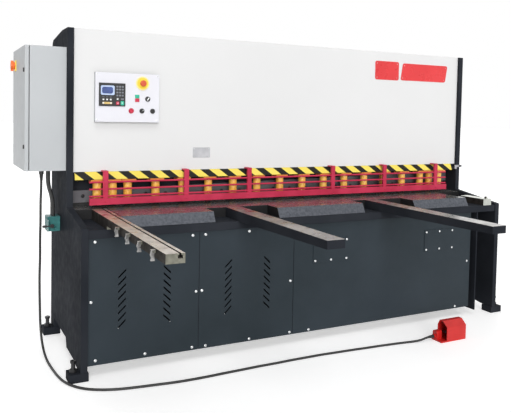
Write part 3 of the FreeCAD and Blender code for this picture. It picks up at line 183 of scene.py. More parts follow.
def choose(thing, test, kind="FACE"):
    """In edit mode, selects the faces or edges whose middle and normal pass the test"""
    only(thing)
    bpy.ops.object.mode_set(mode="EDIT")
    bpy.ops.mesh.select_mode(type=kind)
    bpy.ops.mesh.select_all(action="DESELECT")
    mesh = bmesh.from_edit_mesh(thing.data)
    chosen = 0
    for item in (mesh.faces if kind == "FACE" else mesh.edges):
        if kind == "FACE":
            passed = test(item.calc_center_median(), item.normal)
        else:
            first, second = item.verts
            passed = test((first.co + second.co) / 2, (second.co - first.co).normalized())
        if passed:
            item.select_set(True)
            chosen += 1
    mesh.select_flush_mode()
    bmesh.update_edit_mesh(thing.data)
    return chosen


def done():
    bpy.ops.object.mode_set(mode="OBJECT")


def level_shading(thing):
    """Lets the largest faces set the shading, so that flat plates look flat"""
    weights = thing.modifiers.new("face weights", "WEIGHTED_NORMAL")
    weights.keep_sharp = True
    bpy.ops.object.modifier_apply(modifier="face weights")
    return thing


def round_edges(thing, width, segments=2, angle=30):
    """Bevels the edges sharper than the angle and shades the rest smooth"""
    only(thing)
    bevel = thing.modifiers.new("rounding", "BEVEL")
    bevel.width = width * MM
    bevel.segments = segments
    bevel.limit_method = "ANGLE"
    bevel.angle_limit = math.radians(angle)
    bpy.ops.object.modifier_apply(modifier="rounding")
    bpy.ops.object.shade_smooth_by_angle(angle=math.radians(angle + 5))
    return level_shading(thing)


def block(name, low, high, rounding=0.0, segments=2):
    """A block between two machine corners in millimetres, with rounded edges"""
    low, high = at(*low), at(*high)
    bpy.ops.mesh.primitive_cube_add(size=1, location=(low + high) / 2, scale=high - low)
    thing = settle(bpy.context.object, name)
    if rounding:
        round_edges(thing, rounding, segments)
    return thing


AXIS_TURN = {"X": (0, math.pi / 2, 0), "Y": (math.pi / 2, 0, 0), "Z": (0, 0, 0)}


def rod(name, axis, middle, radius, length, sides=32, rounding=0.0, segments=2):
    """A round or many-sided bar about a machine point in millimetres"""
    bpy.ops.mesh.primitive_cylinder_add(vertices=sides, radius=radius * MM, depth=length * MM,
                                        location=at(*middle), rotation=AXIS_TURN[axis])
    thing = settle(bpy.context.object, name)
    if rounding:
        round_edges(thing, rounding, segments)
    else:
        only(thing)
        bpy.ops.object.shade_smooth_by_angle(angle=math.radians(35))
    return thing


def copied(thing, name, shift):
    """A copy with its own mesh, moved by millimetres"""
    only(thing)
    bpy.ops.object.duplicate(linked=False)
    other = bpy.context.object
    bpy.ops.transform.translate(value=Vector(shift) * MM)
    return settle(other, name)


def joined(things, name):
    """Several things as one object"""
    bpy.ops.object.select_all(action="DESELECT")
    for thing in things:
        thing.select_set(True)
    bpy.context.view_layer.objects.active = things[0]
    if len(things) > 1:
        bpy.ops.object.join()
    return settle(bpy.context.object, name)


def fixed_to(thing, body, slot, material, *nodes):
    """Rides the thing on a body, gives it its finish and hides the nodes that it stands for"""
    if material is not None:
        thing.data.materials.clear()
        thing.data.materials.append(material)
    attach(thing, body)
    if nodes:
        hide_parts(*nodes)
    return thing


# %% [markdown]
# Paint, steel, plastic and rubber share a few effects: a slow change of tone, a fine skin
# texture and a gloss that varies. Each effect is a node group with named sockets, built
# once and placed in every material with its own values.

# %% Shared shader groups


def new_group(name, inputs, outputs):
    group = bpy.data.node_groups.new(name, "ShaderNodeTree")
    for label, kind, value in inputs:
        socket = group.interface.new_socket(label, in_out="INPUT", socket_type=kind)
        socket.default_value = value
    for label, kind in outputs:
        group.interface.new_socket(label, in_out="OUTPUT", socket_type=kind)
    return group, group.nodes.new("NodeGroupInput"), group.nodes.new("NodeGroupOutput")


def wire(tree, source, target):
    tree.links.new(source, target)


def range_node(tree, source, low, high, start=0.35, stop=0.65):
    """Spreads a noise value between two others"""
    spread = tree.nodes.new("ShaderNodeMapRange")
    spread.inputs["From Min"].default_value = start
    spread.inputs["From Max"].default_value = stop
    wire(tree, source, spread.inputs["Value"])
    wire(tree, low, spread.inputs["To Min"])
    wire(tree, high, spread.inputs["To Max"])
    return spread.outputs["Result"]


def tone_group():
    """Two colours mixed in clouds, with a gloss that follows finer clouds"""
    group, given, result = new_group(
        "surface tone",
        [("Vector", "NodeSocketVector", (0, 0, 0)), ("First Colour", "NodeSocketColor", (1, 1, 1, 1)),
         ("Second Colour", "NodeSocketColor", (1, 1, 1, 1)), ("Cloud Scale", "NodeSocketFloat", 3),
         ("Gloss Scale", "NodeSocketFloat", 20), ("Low Roughness", "NodeSocketFloat", 0.3),
         ("High Roughness", "NodeSocketFloat", 0.5)],
        [("Color", "NodeSocketColor"), ("Roughness", "NodeSocketFloat")])
    clouds = group.nodes.new("ShaderNodeTexNoise")
    clouds.inputs["Detail"].default_value = 6
    wire(group, given.outputs["Vector"], clouds.inputs["Vector"])
    wire(group, given.outputs["Cloud Scale"], clouds.inputs["Scale"])
    spread = group.nodes.new("ShaderNodeMapRange")
    spread.inputs["From Min"].default_value = 0.35
    spread.inputs["From Max"].default_value = 0.65
    wire(group, clouds.outputs["Fac"], spread.inputs["Value"])
    mix = group.nodes.new("ShaderNodeMix")
    mix.data_type = "RGBA"
    wire(group, spread.outputs["Result"], mix.inputs["Factor"])
    wire(group, given.outputs["First Colour"], mix.inputs["A"])
    wire(group, given.outputs["Second Colour"], mix.inputs["B"])
    wire(group, mix.outputs["Result"], result.inputs["Color"])
    gloss = group.nodes.new("ShaderNodeTexNoise")
    gloss.inputs["Detail"].default_value = 4
    wire(group, given.outputs["Vector"], gloss.inputs["Vector"])
    wire(group, given.outputs["Gloss Scale"], gloss.inputs["Scale"])
    wire(group, range_node(group, gloss.outputs["Fac"], given.outputs["Low Roughness"],
                           given.outputs["High Roughness"]), result.inputs["Roughness"])
    return group


def skin_group():
    """A fine height: the skin of sprayed paint, cast or moulded surfaces"""
    group, given, result = new_group(
        "surface skin",
        [("Vector", "NodeSocketVector", (0, 0, 0)), ("Skin Scale", "NodeSocketFloat", 300),
         ("Wave Scale", "NodeSocketFloat", 6), ("Wave Share", "NodeSocketFloat", 0.5)],
        [("Height", "NodeSocketFloat")])
    fine = group.nodes.new("ShaderNodeTexNoise")
    fine.inputs["Detail"].default_value = 2
    wire(group, given.outputs["Vector"], fine.inputs["Vector"])
    wire(group, given.outputs["Skin Scale"], fine.inputs["Scale"])
    wave = group.nodes.new("ShaderNodeTexNoise")
    wave.inputs["Detail"].default_value = 1
    wire(group, given.outputs["Vector"], wave.inputs["Vector"])
    wire(group, given.outputs["Wave Scale"], wave.inputs["Scale"])
    both = group.nodes.new("ShaderNodeMix")
    wire(group, given.outputs["Wave Share"], both.inputs["Factor"])
    wire(group, fine.outputs["Fac"], both.inputs["A"])
    wire(group, wave.outputs["Fac"], both.inputs["B"])
    wire(group, both.outputs["Result"], result.inputs["Height"])
    return group


def streak_group():
    """Long fine lines along one axis, as grinding, milling or drawing leaves them"""
    group, given, result = new_group(
        "tool marks",
        [("Vector", "NodeSocketVector", (0, 0, 0)), ("Stretch", "NodeSocketVector", (1, 40, 40)),
         ("Mark Scale", "NodeSocketFloat", 20)],
        [("Mask", "NodeSocketFloat")])
    stretch = group.nodes.new("ShaderNodeVectorMath")
    stretch.operation = "MULTIPLY"
    wire(group, given.outputs["Vector"], stretch.inputs[0])
    wire(group, given.outputs["Stretch"], stretch.inputs[1])
    lines = group.nodes.new("ShaderNodeTexNoise")
    lines.inputs["Detail"].default_value = 5
    wire(group, stretch.outputs["Vector"], lines.inputs["Vector"])
    wire(group, given.outputs["Mark Scale"], lines.inputs["Scale"])
    wire(group, lines.outputs["Fac"], result.inputs["Mask"])
    return group


TONE = tone_group()
SKIN = skin_group()
MARKS = streak_group()
print("groups", [group.name for group in (TONE, SKIN, MARKS)])

# %% [markdown]
# A finish is a Principled shader with the tone group on its colour and roughness and the
# skin group on a bump. Paints, plastics and rubber differ only in their numbers, so one
# function makes them, and metals add tool marks.

# %% A function for finishes


def group_node(tree, group, **values):
    node = tree.nodes.new("ShaderNodeGroup")
    node.node_tree = group
    for label, value in values.items():
        node.inputs[label.replace("_", " ")].default_value = value
    return node


def finish(name, first, second, roughness, metallic=0.0, clouds=3.0, gloss=20.0, skin=300.0,
           wave=6.0, wave_share=0.4, bump=0.1, depth=0.0004, coat=0.0, marks=None, marks_share=0.0,
           shine=0.5):
    """A surface finish; marks gives the stretch of tool marks along the three axes"""
    material = bpy.data.materials.new(name)
    material.use_nodes = True
    tree = material.node_tree
    shader = tree.nodes["Principled BSDF"]
    shader.inputs["Metallic"].default_value = metallic
    shader.inputs["Coat Weight"].default_value = coat
    shader.inputs["Coat Roughness"].default_value = 0.1
    shader.inputs["Specular IOR Level"].default_value = shine
    place = tree.nodes.new("ShaderNodeTexCoord")
    tone = group_node(tree, TONE, First_Colour=(*first, 1), Second_Colour=(*second, 1),
                      Cloud_Scale=clouds, Gloss_Scale=gloss, Low_Roughness=roughness[0],
                      High_Roughness=roughness[1])
    height = group_node(tree, SKIN, Skin_Scale=skin, Wave_Scale=wave, Wave_Share=wave_share)
    wire(tree, place.outputs["Object"], tone.inputs["Vector"])
    wire(tree, place.outputs["Object"], height.inputs["Vector"])
    wire(tree, tone.outputs["Color"], shader.inputs["Base Color"])
    wire(tree, tone.outputs["Roughness"], shader.inputs["Roughness"])
    raised = tree.nodes.new("ShaderNodeBump")
    raised.inputs["Strength"].default_value = bump
    raised.inputs["Distance"].default_value = depth
    wire(tree, raised.outputs["Normal"], shader.inputs["Normal"])
    if marks is None:
        wire(tree, height.outputs["Height"], raised.inputs["Height"])
        return material
    lines = group_node(tree, MARKS, Stretch=marks)
    wire(tree, place.outputs["Object"], lines.inputs["Vector"])
    mix = tree.nodes.new("ShaderNodeMix")
    mix.inputs["Factor"].default_value = marks_share
    wire(tree, height.outputs["Height"], mix.inputs["A"])
    wire(tree, lines.outputs["Mask"], mix.inputs["B"])
    wire(tree, mix.outputs["Result"], raised.inputs["Height"])
    return material


FRAME_PAINT = finish("slate frame paint", (0.020, 0.0225, 0.028), (0.032, 0.035, 0.042), (0.46, 0.60),
                     clouds=2.5, skin=260, bump=0.14, shine=0.006)
PANEL_PAINT = finish("dark panel paint", (0.017, 0.025, 0.031), (0.026, 0.036, 0.045), (0.42, 0.54),
                     clouds=1.6, skin=320, bump=0.12, shine=0.18)
# Black for the bed: paint on its sides, painted shade on the walls of its recesses.
BED_BLACK_AND_PAINTED_SHADE = finish("black bed paint and painted recess shade", (0.010, 0.010, 0.011), (0.016, 0.016, 0.017), (0.45, 0.6),
                     shine=0.2)
COVER_PAINT = finish("white cover paint", (0.72, 0.72, 0.72), (0.745, 0.745, 0.745), (0.34, 0.42),
                     clouds=0.8, skin=340, bump=0.08)
CABINET_PAINT = finish("light grey powder paint", (0.47, 0.49, 0.505), (0.51, 0.53, 0.545), (0.42, 0.52),
                       clouds=1.5, skin=420, bump=0.22)
GUARD_PAINT = finish("crimson guard paint", (0.46, 0.020, 0.060), (0.56, 0.032, 0.085), (0.36, 0.5),
                     clouds=9, skin=300, bump=0.12, shine=0.3)
BARREL_PAINT = finish("amber barrel paint", (0.98, 0.50, 0.075), (1.0, 0.57, 0.11), (0.18, 0.28),
                      clouds=18, skin=350, bump=0.06, shine=0.7)
FLANGE_PAINT = finish("orange flange paint", (0.96, 0.31, 0.06), (1.0, 0.38, 0.09), (0.24, 0.36),
                      clouds=18, skin=350, bump=0.06)
BED_STEEL = finish("ground bed steel", (0.16, 0.16, 0.162), (0.22, 0.218, 0.215), (0.22, 0.29),
                   metallic=0.5, clouds=9, gloss=14, skin=500, bump=0.015, marks=(2, 40, 40),
                   marks_share=0.5)
BLADE_STEEL = finish("grey plate behind the barrels", (0.10, 0.098, 0.11), (0.15, 0.148, 0.16), (0.42, 0.58),
                     metallic=0.35, clouds=7, gloss=14, skin=300, bump=0.12)
SLOPE_STEEL = finish("mottled steel slope", (0.055, 0.061, 0.075), (0.105, 0.113, 0.132), (0.42, 0.58),
                     metallic=0.4, clouds=70, gloss=40, skin=260, bump=0.25)
ARM_STEEL = finish("milled arm steel", (0.50, 0.46, 0.41), (0.66, 0.62, 0.56), (0.26, 0.42),
                   metallic=0.85, clouds=14, gloss=22, skin=500, bump=0.10, marks=(50, 2, 50),
                   marks_share=0.6)
SUPPORT_TOP = finish("scuffed support arm top", (0.20, 0.195, 0.19), (0.38, 0.37, 0.36), (0.24, 0.40),
                     metallic=0.85, clouds=7, gloss=22, skin=500, bump=0.10, marks=(50, 2, 50),
                     marks_share=0.6)
# Dark steel for the sides of the squaring arm and the side guide, darkened further as painted shade.
DARK_SIDE_AND_PAINTED_SHADE = finish("dark arm and guide sides with painted shade", (0.022, 0.020, 0.019), (0.045, 0.041, 0.037), (0.50, 0.64),
                  clouds=22, gloss=30, skin=260, bump=0.3, shine=0.04)
ARM_END = finish("sawn arm end", (0.13, 0.13, 0.10), (0.21, 0.205, 0.165), (0.4, 0.55), metallic=0.3,
                 clouds=35, gloss=40, skin=300, bump=0.25)
STOP_STEEL = finish("worn stop steel", (0.20, 0.20, 0.20), (0.42, 0.41, 0.40), (0.25, 0.42),
                    metallic=1.0, clouds=45, gloss=60, bump=0.15)
GUIDE_STEEL = finish("pale guide steel", (0.42, 0.44, 0.40), (0.55, 0.56, 0.52), (0.3, 0.45),
                     metallic=0.7, clouds=20, bump=0.1)
BRIGHT_STEEL = finish("ground bright steel", (0.55, 0.55, 0.56), (0.66, 0.66, 0.66), (0.18, 0.3),
                      metallic=1.0, clouds=12, gloss=60, bump=0.05, marks=(2, 60, 60), marks_share=0.5)
ZINC = finish("zinc plated steel", (0.62, 0.63, 0.64), (0.74, 0.75, 0.75), (0.24, 0.36), metallic=1.0,
              clouds=40, gloss=80, bump=0.05)
PANEL_WHITE = finish("pale control panel", (0.74, 0.74, 0.79), (0.77, 0.77, 0.82), (0.40, 0.50), clouds=3,
                     skin=420, bump=0.12)
GASKET = finish("dark gasket edge", (0.13, 0.13, 0.125), (0.17, 0.17, 0.165), (0.5, 0.65), clouds=12)
SCREEN_BLUE = finish("blue display", (0.035, 0.065, 0.22), (0.055, 0.10, 0.32), (0.12, 0.2), clouds=24,
                     bump=0.0, coat=0.6)
BEZEL_BLUE = finish("pale blue display frame", (0.45, 0.56, 0.80), (0.52, 0.62, 0.84), (0.25, 0.35), clouds=30)
KEY_GREY = finish("grey keys", (0.16, 0.17, 0.20), (0.20, 0.21, 0.24), (0.35, 0.45), clouds=60)
PALE_PLASTIC = finish("pale plastic", (0.76, 0.78, 0.78), (0.80, 0.82, 0.82), (0.25, 0.35), clouds=30)
AMBER_PLASTIC = finish("amber key", (0.62, 0.44, 0.14), (0.70, 0.50, 0.18), (0.3, 0.4), clouds=40)
STOP_PLASTIC = finish("orange-red mushroom", (0.60, 0.085, 0.035), (0.68, 0.11, 0.045), (0.24, 0.34), clouds=30)
PLATE_RED = finish("plain red plate", (0.66, 0.018, 0.022), (0.72, 0.026, 0.03), (0.25, 0.36), clouds=4,
                   skin=400, bump=0.06, coat=0.4)
PLATE_SILVER = finish("plain aluminium plate", (0.40, 0.40, 0.42), (0.52, 0.52, 0.54), (0.28, 0.4),
                      metallic=0.9, clouds=18, skin=600, bump=0.06, marks=(2, 60, 60), marks_share=0.6)
PALE_YELLOW = finish("pale yellow plastic", (0.90, 0.80, 0.32), (0.94, 0.84, 0.38), (0.28, 0.38), clouds=30)
PINK_PLASTIC = finish("pink lamp plastic", (0.72, 0.34, 0.42), (0.78, 0.40, 0.48), (0.2, 0.3), clouds=30)
MINT_PLASTIC = finish("mint lamp plastic", (0.42, 0.80, 0.66), (0.48, 0.85, 0.72), (0.2, 0.3), clouds=30)
DUCT_GREY = finish("grey duct plastic", (0.34, 0.36, 0.38), (0.38, 0.40, 0.42), (0.42, 0.52), clouds=20)
BRASS = finish("yellow zinc", (0.62, 0.48, 0.22), (0.72, 0.56, 0.28), (0.26, 0.38), metallic=1.0, clouds=40)
PALE_GLASS = finish("sight glass", (0.45, 0.34, 0.10), (0.55, 0.42, 0.14), (0.08, 0.14), clouds=20, bump=0.0,
                    coat=1.0)
BLACK_OXIDE = finish("blackened steel", (0.025, 0.025, 0.027), (0.04, 0.04, 0.042), (0.35, 0.5),
                     metallic=0.6, clouds=40)
BLACK_PLASTIC = finish("black plastic", (0.012, 0.012, 0.013), (0.018, 0.018, 0.019), (0.32, 0.42),
                       clouds=30, skin=900, bump=0.08)
CRIMSON_PLASTIC = finish("crimson plastic", (0.55, 0.02, 0.06), (0.60, 0.03, 0.07), (0.24, 0.34), clouds=30)
GREEN_PLASTIC = finish("green plastic", (0.02, 0.42, 0.27), (0.03, 0.48, 0.31), (0.24, 0.34), clouds=30)
YELLOW_PLASTIC = finish("yellow plastic", (0.90, 0.66, 0.05), (0.94, 0.72, 0.08), (0.28, 0.38), clouds=30)
ORANGE_PLASTIC = finish("orange plastic", (0.80, 0.14, 0.02), (0.86, 0.18, 0.03), (0.28, 0.38), clouds=30)
TEAL_PAINT = finish("teal cast paint", (0.015, 0.13, 0.13), (0.025, 0.19, 0.18), (0.38, 0.55), clouds=25,
                    skin=200, bump=0.3)
SWITCH_PAINT = finish("red switch enamel", (0.54, 0.014, 0.012), (0.61, 0.020, 0.017), (0.28, 0.38),
                      clouds=12, skin=240, bump=0.08, coat=0.2, shine=0.3)
RUBBER = finish("cable rubber", (0.010, 0.010, 0.010), (0.016, 0.016, 0.016), (0.45, 0.6), clouds=20,
                skin=500, bump=0.15)
MOTOR_PAINT = finish("blue-grey motor paint", (0.06, 0.09, 0.13), (0.08, 0.12, 0.16), (0.38, 0.5), clouds=8)
print("finishes", len(bpy.data.materials))

# %% [markdown]
# The striped board under the cover is yellow sheet with black bands that lean to the left
# at the top. The bands are a repeat along X that is pushed sideways by the height, so one
# sawtooth of the surface's own place draws them, and the tone group still tints the paint.

# %% Yellow and black stripes
STRIPE_PITCH = 0.1436
STRIPE_SHIFT = 1.25
BLACK_SHARE = 0.47
FIRST_BLACK = at(-1311, 0, 1162)


def striped_finish():
    material = finish("yellow and black stripes", (0.82, 0.66, 0.10), (0.87, 0.71, 0.14), (0.34, 0.5),
                      clouds=5, shine=0.2)
    tree = material.node_tree
    shader = tree.nodes["Principled BSDF"]
    place = tree.nodes["Texture Coordinate"]
    yellow = shader.inputs["Base Color"].links[0].from_socket
    parts = tree.nodes.new("ShaderNodeSeparateXYZ")
    wire(tree, place.outputs["Object"], parts.inputs["Vector"])
    lean = tree.nodes.new("ShaderNodeMath")
    lean.operation = "MULTIPLY_ADD"
    lean.inputs[1].default_value = STRIPE_SHIFT
    wire(tree, parts.outputs["Z"], lean.inputs[0])
    wire(tree, parts.outputs["X"], lean.inputs[2])
    repeat = tree.nodes.new("ShaderNodeMath")
    repeat.operation = "WRAP"
    start = (FIRST_BLACK.x + FIRST_BLACK.z * STRIPE_SHIFT) % STRIPE_PITCH
    repeat.inputs[1].default_value = start + STRIPE_PITCH
    repeat.inputs[2].default_value = start
    wire(tree, lean.outputs["Value"], repeat.inputs[0])
    dark = tree.nodes.new("ShaderNodeMath")
    dark.operation = "LESS_THAN"
    dark.inputs[1].default_value = start + STRIPE_PITCH * BLACK_SHARE
    wire(tree, repeat.outputs["Value"], dark.inputs[0])
    mix = tree.nodes.new("ShaderNodeMix")
    mix.data_type = "RGBA"
    mix.inputs["B"].default_value = (0.012, 0.011, 0.009, 1)
    wire(tree, dark.outputs["Value"], mix.inputs["Factor"])
    wire(tree, yellow, mix.inputs["A"])
    wire(tree, mix.outputs["Result"], shader.inputs["Base Color"])
    return material


STRIPES = striped_finish()
print("stripes every", STRIPE_PITCH, "m")

# %% [markdown]
# A CAD sub-part arrives as loose triangles with razor edges, and real plate, castings and
# sheet have edges that catch the light. Each rigid sub-part is therefore copied, its
# triangles are merged into faces, and its sharp edges get a small bevel. Faces that are
# machined bare get a second finish, chosen by which way they point.

# %% Dress the rigid sub-parts


def dressed(node, rounding, material, segments=2, bare=None):
    """A rounded copy of a node in its finish; bare gives (test, finish) for some faces"""
    source = frame["nodes"][node]
    thing = bpy.data.objects.new(node + "_dressed", source.data.copy())
    bpy.context.scene.collection.objects.link(thing)
    thing.data.materials.clear()
    thing.data.materials.append(material)
    only(thing)
    bpy.ops.object.mode_set(mode="EDIT")
    bpy.ops.mesh.select_all(action="SELECT")
    bpy.ops.mesh.remove_doubles(threshold=0.00001)
    bpy.ops.mesh.dissolve_limited(angle_limit=math.radians(0.5))
    bpy.ops.mesh.customdata_custom_splitnormals_clear()
    done()
    if bare:
        for test, finish_of_faces in bare:
            thing.data.materials.append(finish_of_faces)
            choose(thing, test)
            thing.active_material_index = len(thing.data.materials) - 1
            bpy.ops.object.material_slot_assign()
            done()
    if rounding:
        round_edges(thing, rounding, segments)
    else:
        only(thing)
        bpy.ops.object.shade_smooth_by_angle(angle=math.radians(35))
        level_shading(thing)
    return fixed_to(thing, BODY_OF[node], SLOT_OF[node], None, node)


def faces_up(middle, normal):
    return normal.z > 0.9


def faces_ahead(middle, normal):
    return normal.y < -0.9


def faces_over_and_under(middle, normal):
    return abs(normal.z) > 0.9


def inside(low, high):
    """A test for the faces that lie between two machine corners in millimetres"""
    low, high = at(*low), at(*high)
    return lambda middle, normal: all(low[i] <= middle[i] <= high[i] for i in range(3))


print("dressing", len(frame["nodes"]), "sub-parts")

# %% Frames, feet and base
for node, rounding in (("side_frame_left", 2), ("side_frame_right", 2), ("feet", 2),
                       ("rear_tie_beam", 6), ("cylinder_beam", 3), ("hold_down_beam", 2),
                       ("swing_beam", 2), ("base_frame", 3), ("chute", 1), ("oil_tank", 4)):
    dressed(node, rounding, FRAME_PAINT)
for node in ("front_panel_left", "front_panel_middle", "front_plate", "access_plates"):
    dressed(node, 1, PANEL_PAINT)
dressed("levelling_bolts", 1, BLACK_OXIDE)
dressed("pivot_pins", 2, BRIGHT_STEEL)
dressed("cylinder_rams", 0, BRIGHT_STEEL)
dressed("lower_blade", 0.5, BED_STEEL)
dressed("upper_blade", 0.5, BLADE_STEEL)
dressed("worktable", 2, FRAME_PAINT)
print("frames and base dressed")

# %% Bed, arms and guide
# The bed's black faces are black paint on its sides and painted shade on the walls of its recesses.
dressed("bed", 1.2, BED_BLACK_AND_PAINTED_SHADE, bare=[
    (faces_up, BED_STEEL),
    (lambda middle, normal: normal.y < -0.2 and normal.z > 0.05, SLOPE_STEEL)])
for node in ("support_arm_left", "support_arm_right"):
    dressed(node, 1.2, FRAME_PAINT, bare=[(faces_up, SUPPORT_TOP)])
# The sides of the squaring arm and the side guide are dark steel, darkened further as painted shade; their tops
# and ends stay bright.
dressed("squaring_arm", 0.8, DARK_SIDE_AND_PAINTED_SHADE, bare=[(faces_up, ARM_STEEL), (faces_ahead, ARM_END)])
dressed("side_guide", 1.5, DARK_SIDE_AND_PAINTED_SHADE, bare=[(faces_up, GUIDE_STEEL), (faces_ahead, GUIDE_STEEL)])
print("bed and arms dressed")

# %% Upper front
dressed("front_cover", 1.2, COVER_PAINT)
dressed("stripe_board", 0.8, STRIPES)
dressed("finger_guard", 1.0, GUARD_PAINT)
dressed("hold_down_cylinders", 1.2, BARREL_PAINT, bare=[
    (lambda middle, normal: middle.z > 1.1049, FLANGE_PAINT)])
dressed("hold_down_plungers", 1.0, BARREL_PAINT)
dressed("cabinet", 1.5, CABINET_PAINT)
dressed("cabinet_door", 1.5, CABINET_PAINT, bare=[
    (inside((-1912, 430, 1812), (-1896, 512, 1890)), YELLOW_PLASTIC),
    (inside((-1908, 26, 1300), (-1897.2, 64, 1830)), BLACK_OXIDE)])
dressed("control_box", 2, CABINET_PAINT, bare=[(faces_ahead, PANEL_WHITE), (faces_over_and_under, GASKET)])
dressed("controller", 2, BLACK_PLASTIC)
dressed("emergency_disc", 0.6, YELLOW_PLASTIC)
dressed("emergency_stop", 5, STOP_PLASTIC, segments=4)
dressed("start_button", 1, GREEN_PLASTIC)
dressed("stop_button", 1, CRIMSON_PLASTIC)
dressed("red_button", 1.5, CRIMSON_PLASTIC)
dressed("black_button", 1.5, BLACK_PLASTIC)
dressed("mode_selector", 1.5, BLACK_PLASTIC)
dressed("stroke_selector", 1.5, BLACK_PLASTIC)
dressed("main_switch", 1.5, ORANGE_PLASTIC)
dressed("main_cylinders", 2, FRAME_PAINT)
dressed("pump_motor", 3, MOTOR_PAINT)
dressed("back_gauge", 2, FRAME_PAINT)
dressed("valve_box", 3, TEAL_PAINT)
dressed("conduits", 0, RUBBER)
dressed("cable_gland", 1.5, BLACK_PLASTIC)
dressed("foot_switch", 1.5, SWITCH_PAINT)
dressed("pedal", 1, BLACK_PLASTIC)
for number in range(1, 5):
    dressed("flip_stop_%d" % number, 1.2, STOP_STEEL)
foot_cable.data.materials.append(RUBBER)
print("upper front and fittings dressed")

# %% [markdown]
# Screws and bolts repeat on every panel. One head of each kind is modelled at its first
# place: a short cylinder gets a rounded front edge, its front face is inset, and what is
# left is sunk to make the socket. The head is then copied to the other places, and the
# copies are joined, because they always move together.

# %% Fasteners
FORWARD = Vector((0, -1, 0))
BACKWARD = Vector((0, 1, 0))
LEFTWARD = Vector((-1, 0, 0))
UPWARD = Vector((0, 0, 1))


def facing(direction):
    """A test for the faces that point along a direction"""
    return lambda middle, normal: normal.dot(direction) > 0.95


def sink(thing, test, rim, depth):
    """Insets the chosen faces by a rim and sinks what is left, in millimetres"""
    chosen = choose(thing, test)
    bpy.ops.mesh.inset(thickness=rim * MM)
    bpy.ops.mesh.inset(thickness=0.1 * MM, depth=-depth * MM)
    done()
    return chosen


def repeated(thing, name, shifts):
    """The thing and its moved copies as one object"""
    copies = [copied(thing, name + "_copy", shift) for shift in shifts]
    return joined([thing] + copies, name)


def heads(name, spots, direction, radius, height, socket=0.5, sides=20):
    """Button heads with sockets at machine places, as one object"""
    axis = "XYZ"[[abs(round(v)) for v in direction].index(1)]
    head = rod(name, axis, Vector(spots[0]) + direction * (height / 2 - 0.2), radius, height + 0.4, sides)
    choose(head, facing(direction))
    bpy.ops.mesh.bevel(offset=radius * 0.28 * MM, segments=2, affect="EDGES")
    done()
    if socket:
        sink(head, facing(direction), radius * 0.72 * (1 - socket), height * 0.45)
    only(head)
    bpy.ops.object.shade_smooth_by_angle(angle=math.radians(35))
    return repeated(head, name, [Vector(spot) - Vector(spots[0]) for spot in spots[1:]])


def ring(name, axis, middle, outer, inner, thickness, sides=32, rounding=0.4):
    """A flat ring about a machine point, made from a disc that gets a hole and a thickness"""
    bpy.ops.mesh.primitive_circle_add(vertices=sides, radius=outer * MM, fill_type="NGON",
                                      location=at(*middle), rotation=AXIS_TURN[axis])
    thing = settle(bpy.context.object, name)
    choose(thing, lambda middle, normal: True)
    bpy.ops.mesh.inset(thickness=(outer - inner) * MM)
    bpy.ops.mesh.delete(type="FACE")
    done()
    wall = thing.modifiers.new("wall", "SOLIDIFY")
    wall.thickness = thickness * MM
    wall.offset = 0
    bpy.ops.object.modifier_apply(modifier="wall")
    return round_edges(thing, rounding, 2, 40)


PANEL_SCREWS = [(-1566, 801), (-961, 799), (-875, 799), (-569, 800), (-1587, 450), (-1559, 103),
                (-1260, 99), (-957, 94), (-865, 91), (-557, 90), (-252, 92), (-101, 90),
                (-233 - 20, 443), (-935, 445), (-895, 446), (1240, 92), (1350, 440)]
fixed_to(heads("panel_screws", [(x, -430, z) for x, z in PANEL_SCREWS], FORWARD, 9, 4),
         "frame", "black_steel", ZINC)
plate_spots = []
for plate_left in (-77, 911):
    for across in (16, 145, 274):
        for height in (561, 694):
            plate_spots.append((plate_left + across, -434, height))
fixed_to(heads("access_plate_screws", plate_spots, FORWARD, 8, 4), "frame", "black_steel", ZINC)
blade_spots = [(-1527 + 141 * index, 90, 1004) for index in range(22)]
fixed_to(heads("blade_bolts", blade_spots, FORWARD, 12, 7), "swing_beam_body", "black_steel", BLACK_OXIDE)
bolt_spots = [(x, y, 100) for x in (-1682, 1682) for y in (-413, 475)]
bolt_head = rod("levelling_heads", "Z", (-1682, -413, 111), 19, 15, 6, 2)
sink(bolt_head, facing(UPWARD), 3, 1.5)
fixed_to(repeated(bolt_head, "levelling_heads", [Vector(spot) - Vector(bolt_spots[0]) for spot in bolt_spots[1:]]),
         "frame", "black_steel", BLACK_OXIDE)
# A black strip behind the blades is painted shade: it keeps the gap between the blades dark.
strip = block("rear_shade_strip", (-1592, 115.5, 900), (1592, 119, 1060), 1)
fixed_to(strip, "swing_beam_body", "black_plastic", RUBBER)
guard_spots = [(x, -67, z) for x in (-1414, -864, -388, 325, 817, 1350) for z in (983.5,)]
fixed_to(heads("guard_bolts", guard_spots, FORWARD, 7, 3), "frame", "black_steel", GUARD_PAINT)
print("screws and bolts", len(PANEL_SCREWS) + len(plate_spots) + len(blade_spots) + len(guard_spots))

# %% [markdown]
# Each hold-down barrel has a cap nut at its mouth, where its plunger comes out. It is a
# flat ring.

# %% Barrel rings
barrel_places = sorted({round(side * (192 * index + 96)) for index in range(7) for side in (-1, 1)}
                       | {-1450, -1349, 1349, 1450})
mouth = ring("barrel_mouths", "Z", (barrel_places[0], 26, 990), 30.5, 21, 6, rounding=1)
fixed_to(repeated(mouth, "barrel_mouths", [(place - barrel_places[0], 0, 0) for place in barrel_places[1:]]),
         "frame", "hold_down_paint", BARREL_PAINT)
print("barrels with rings", len(barrel_places))

# %% [markdown]
# The control box has a pale door with a screw in each corner. Every push button and
# selector stands in a threaded ring, and the emergency disc has a raised rim.

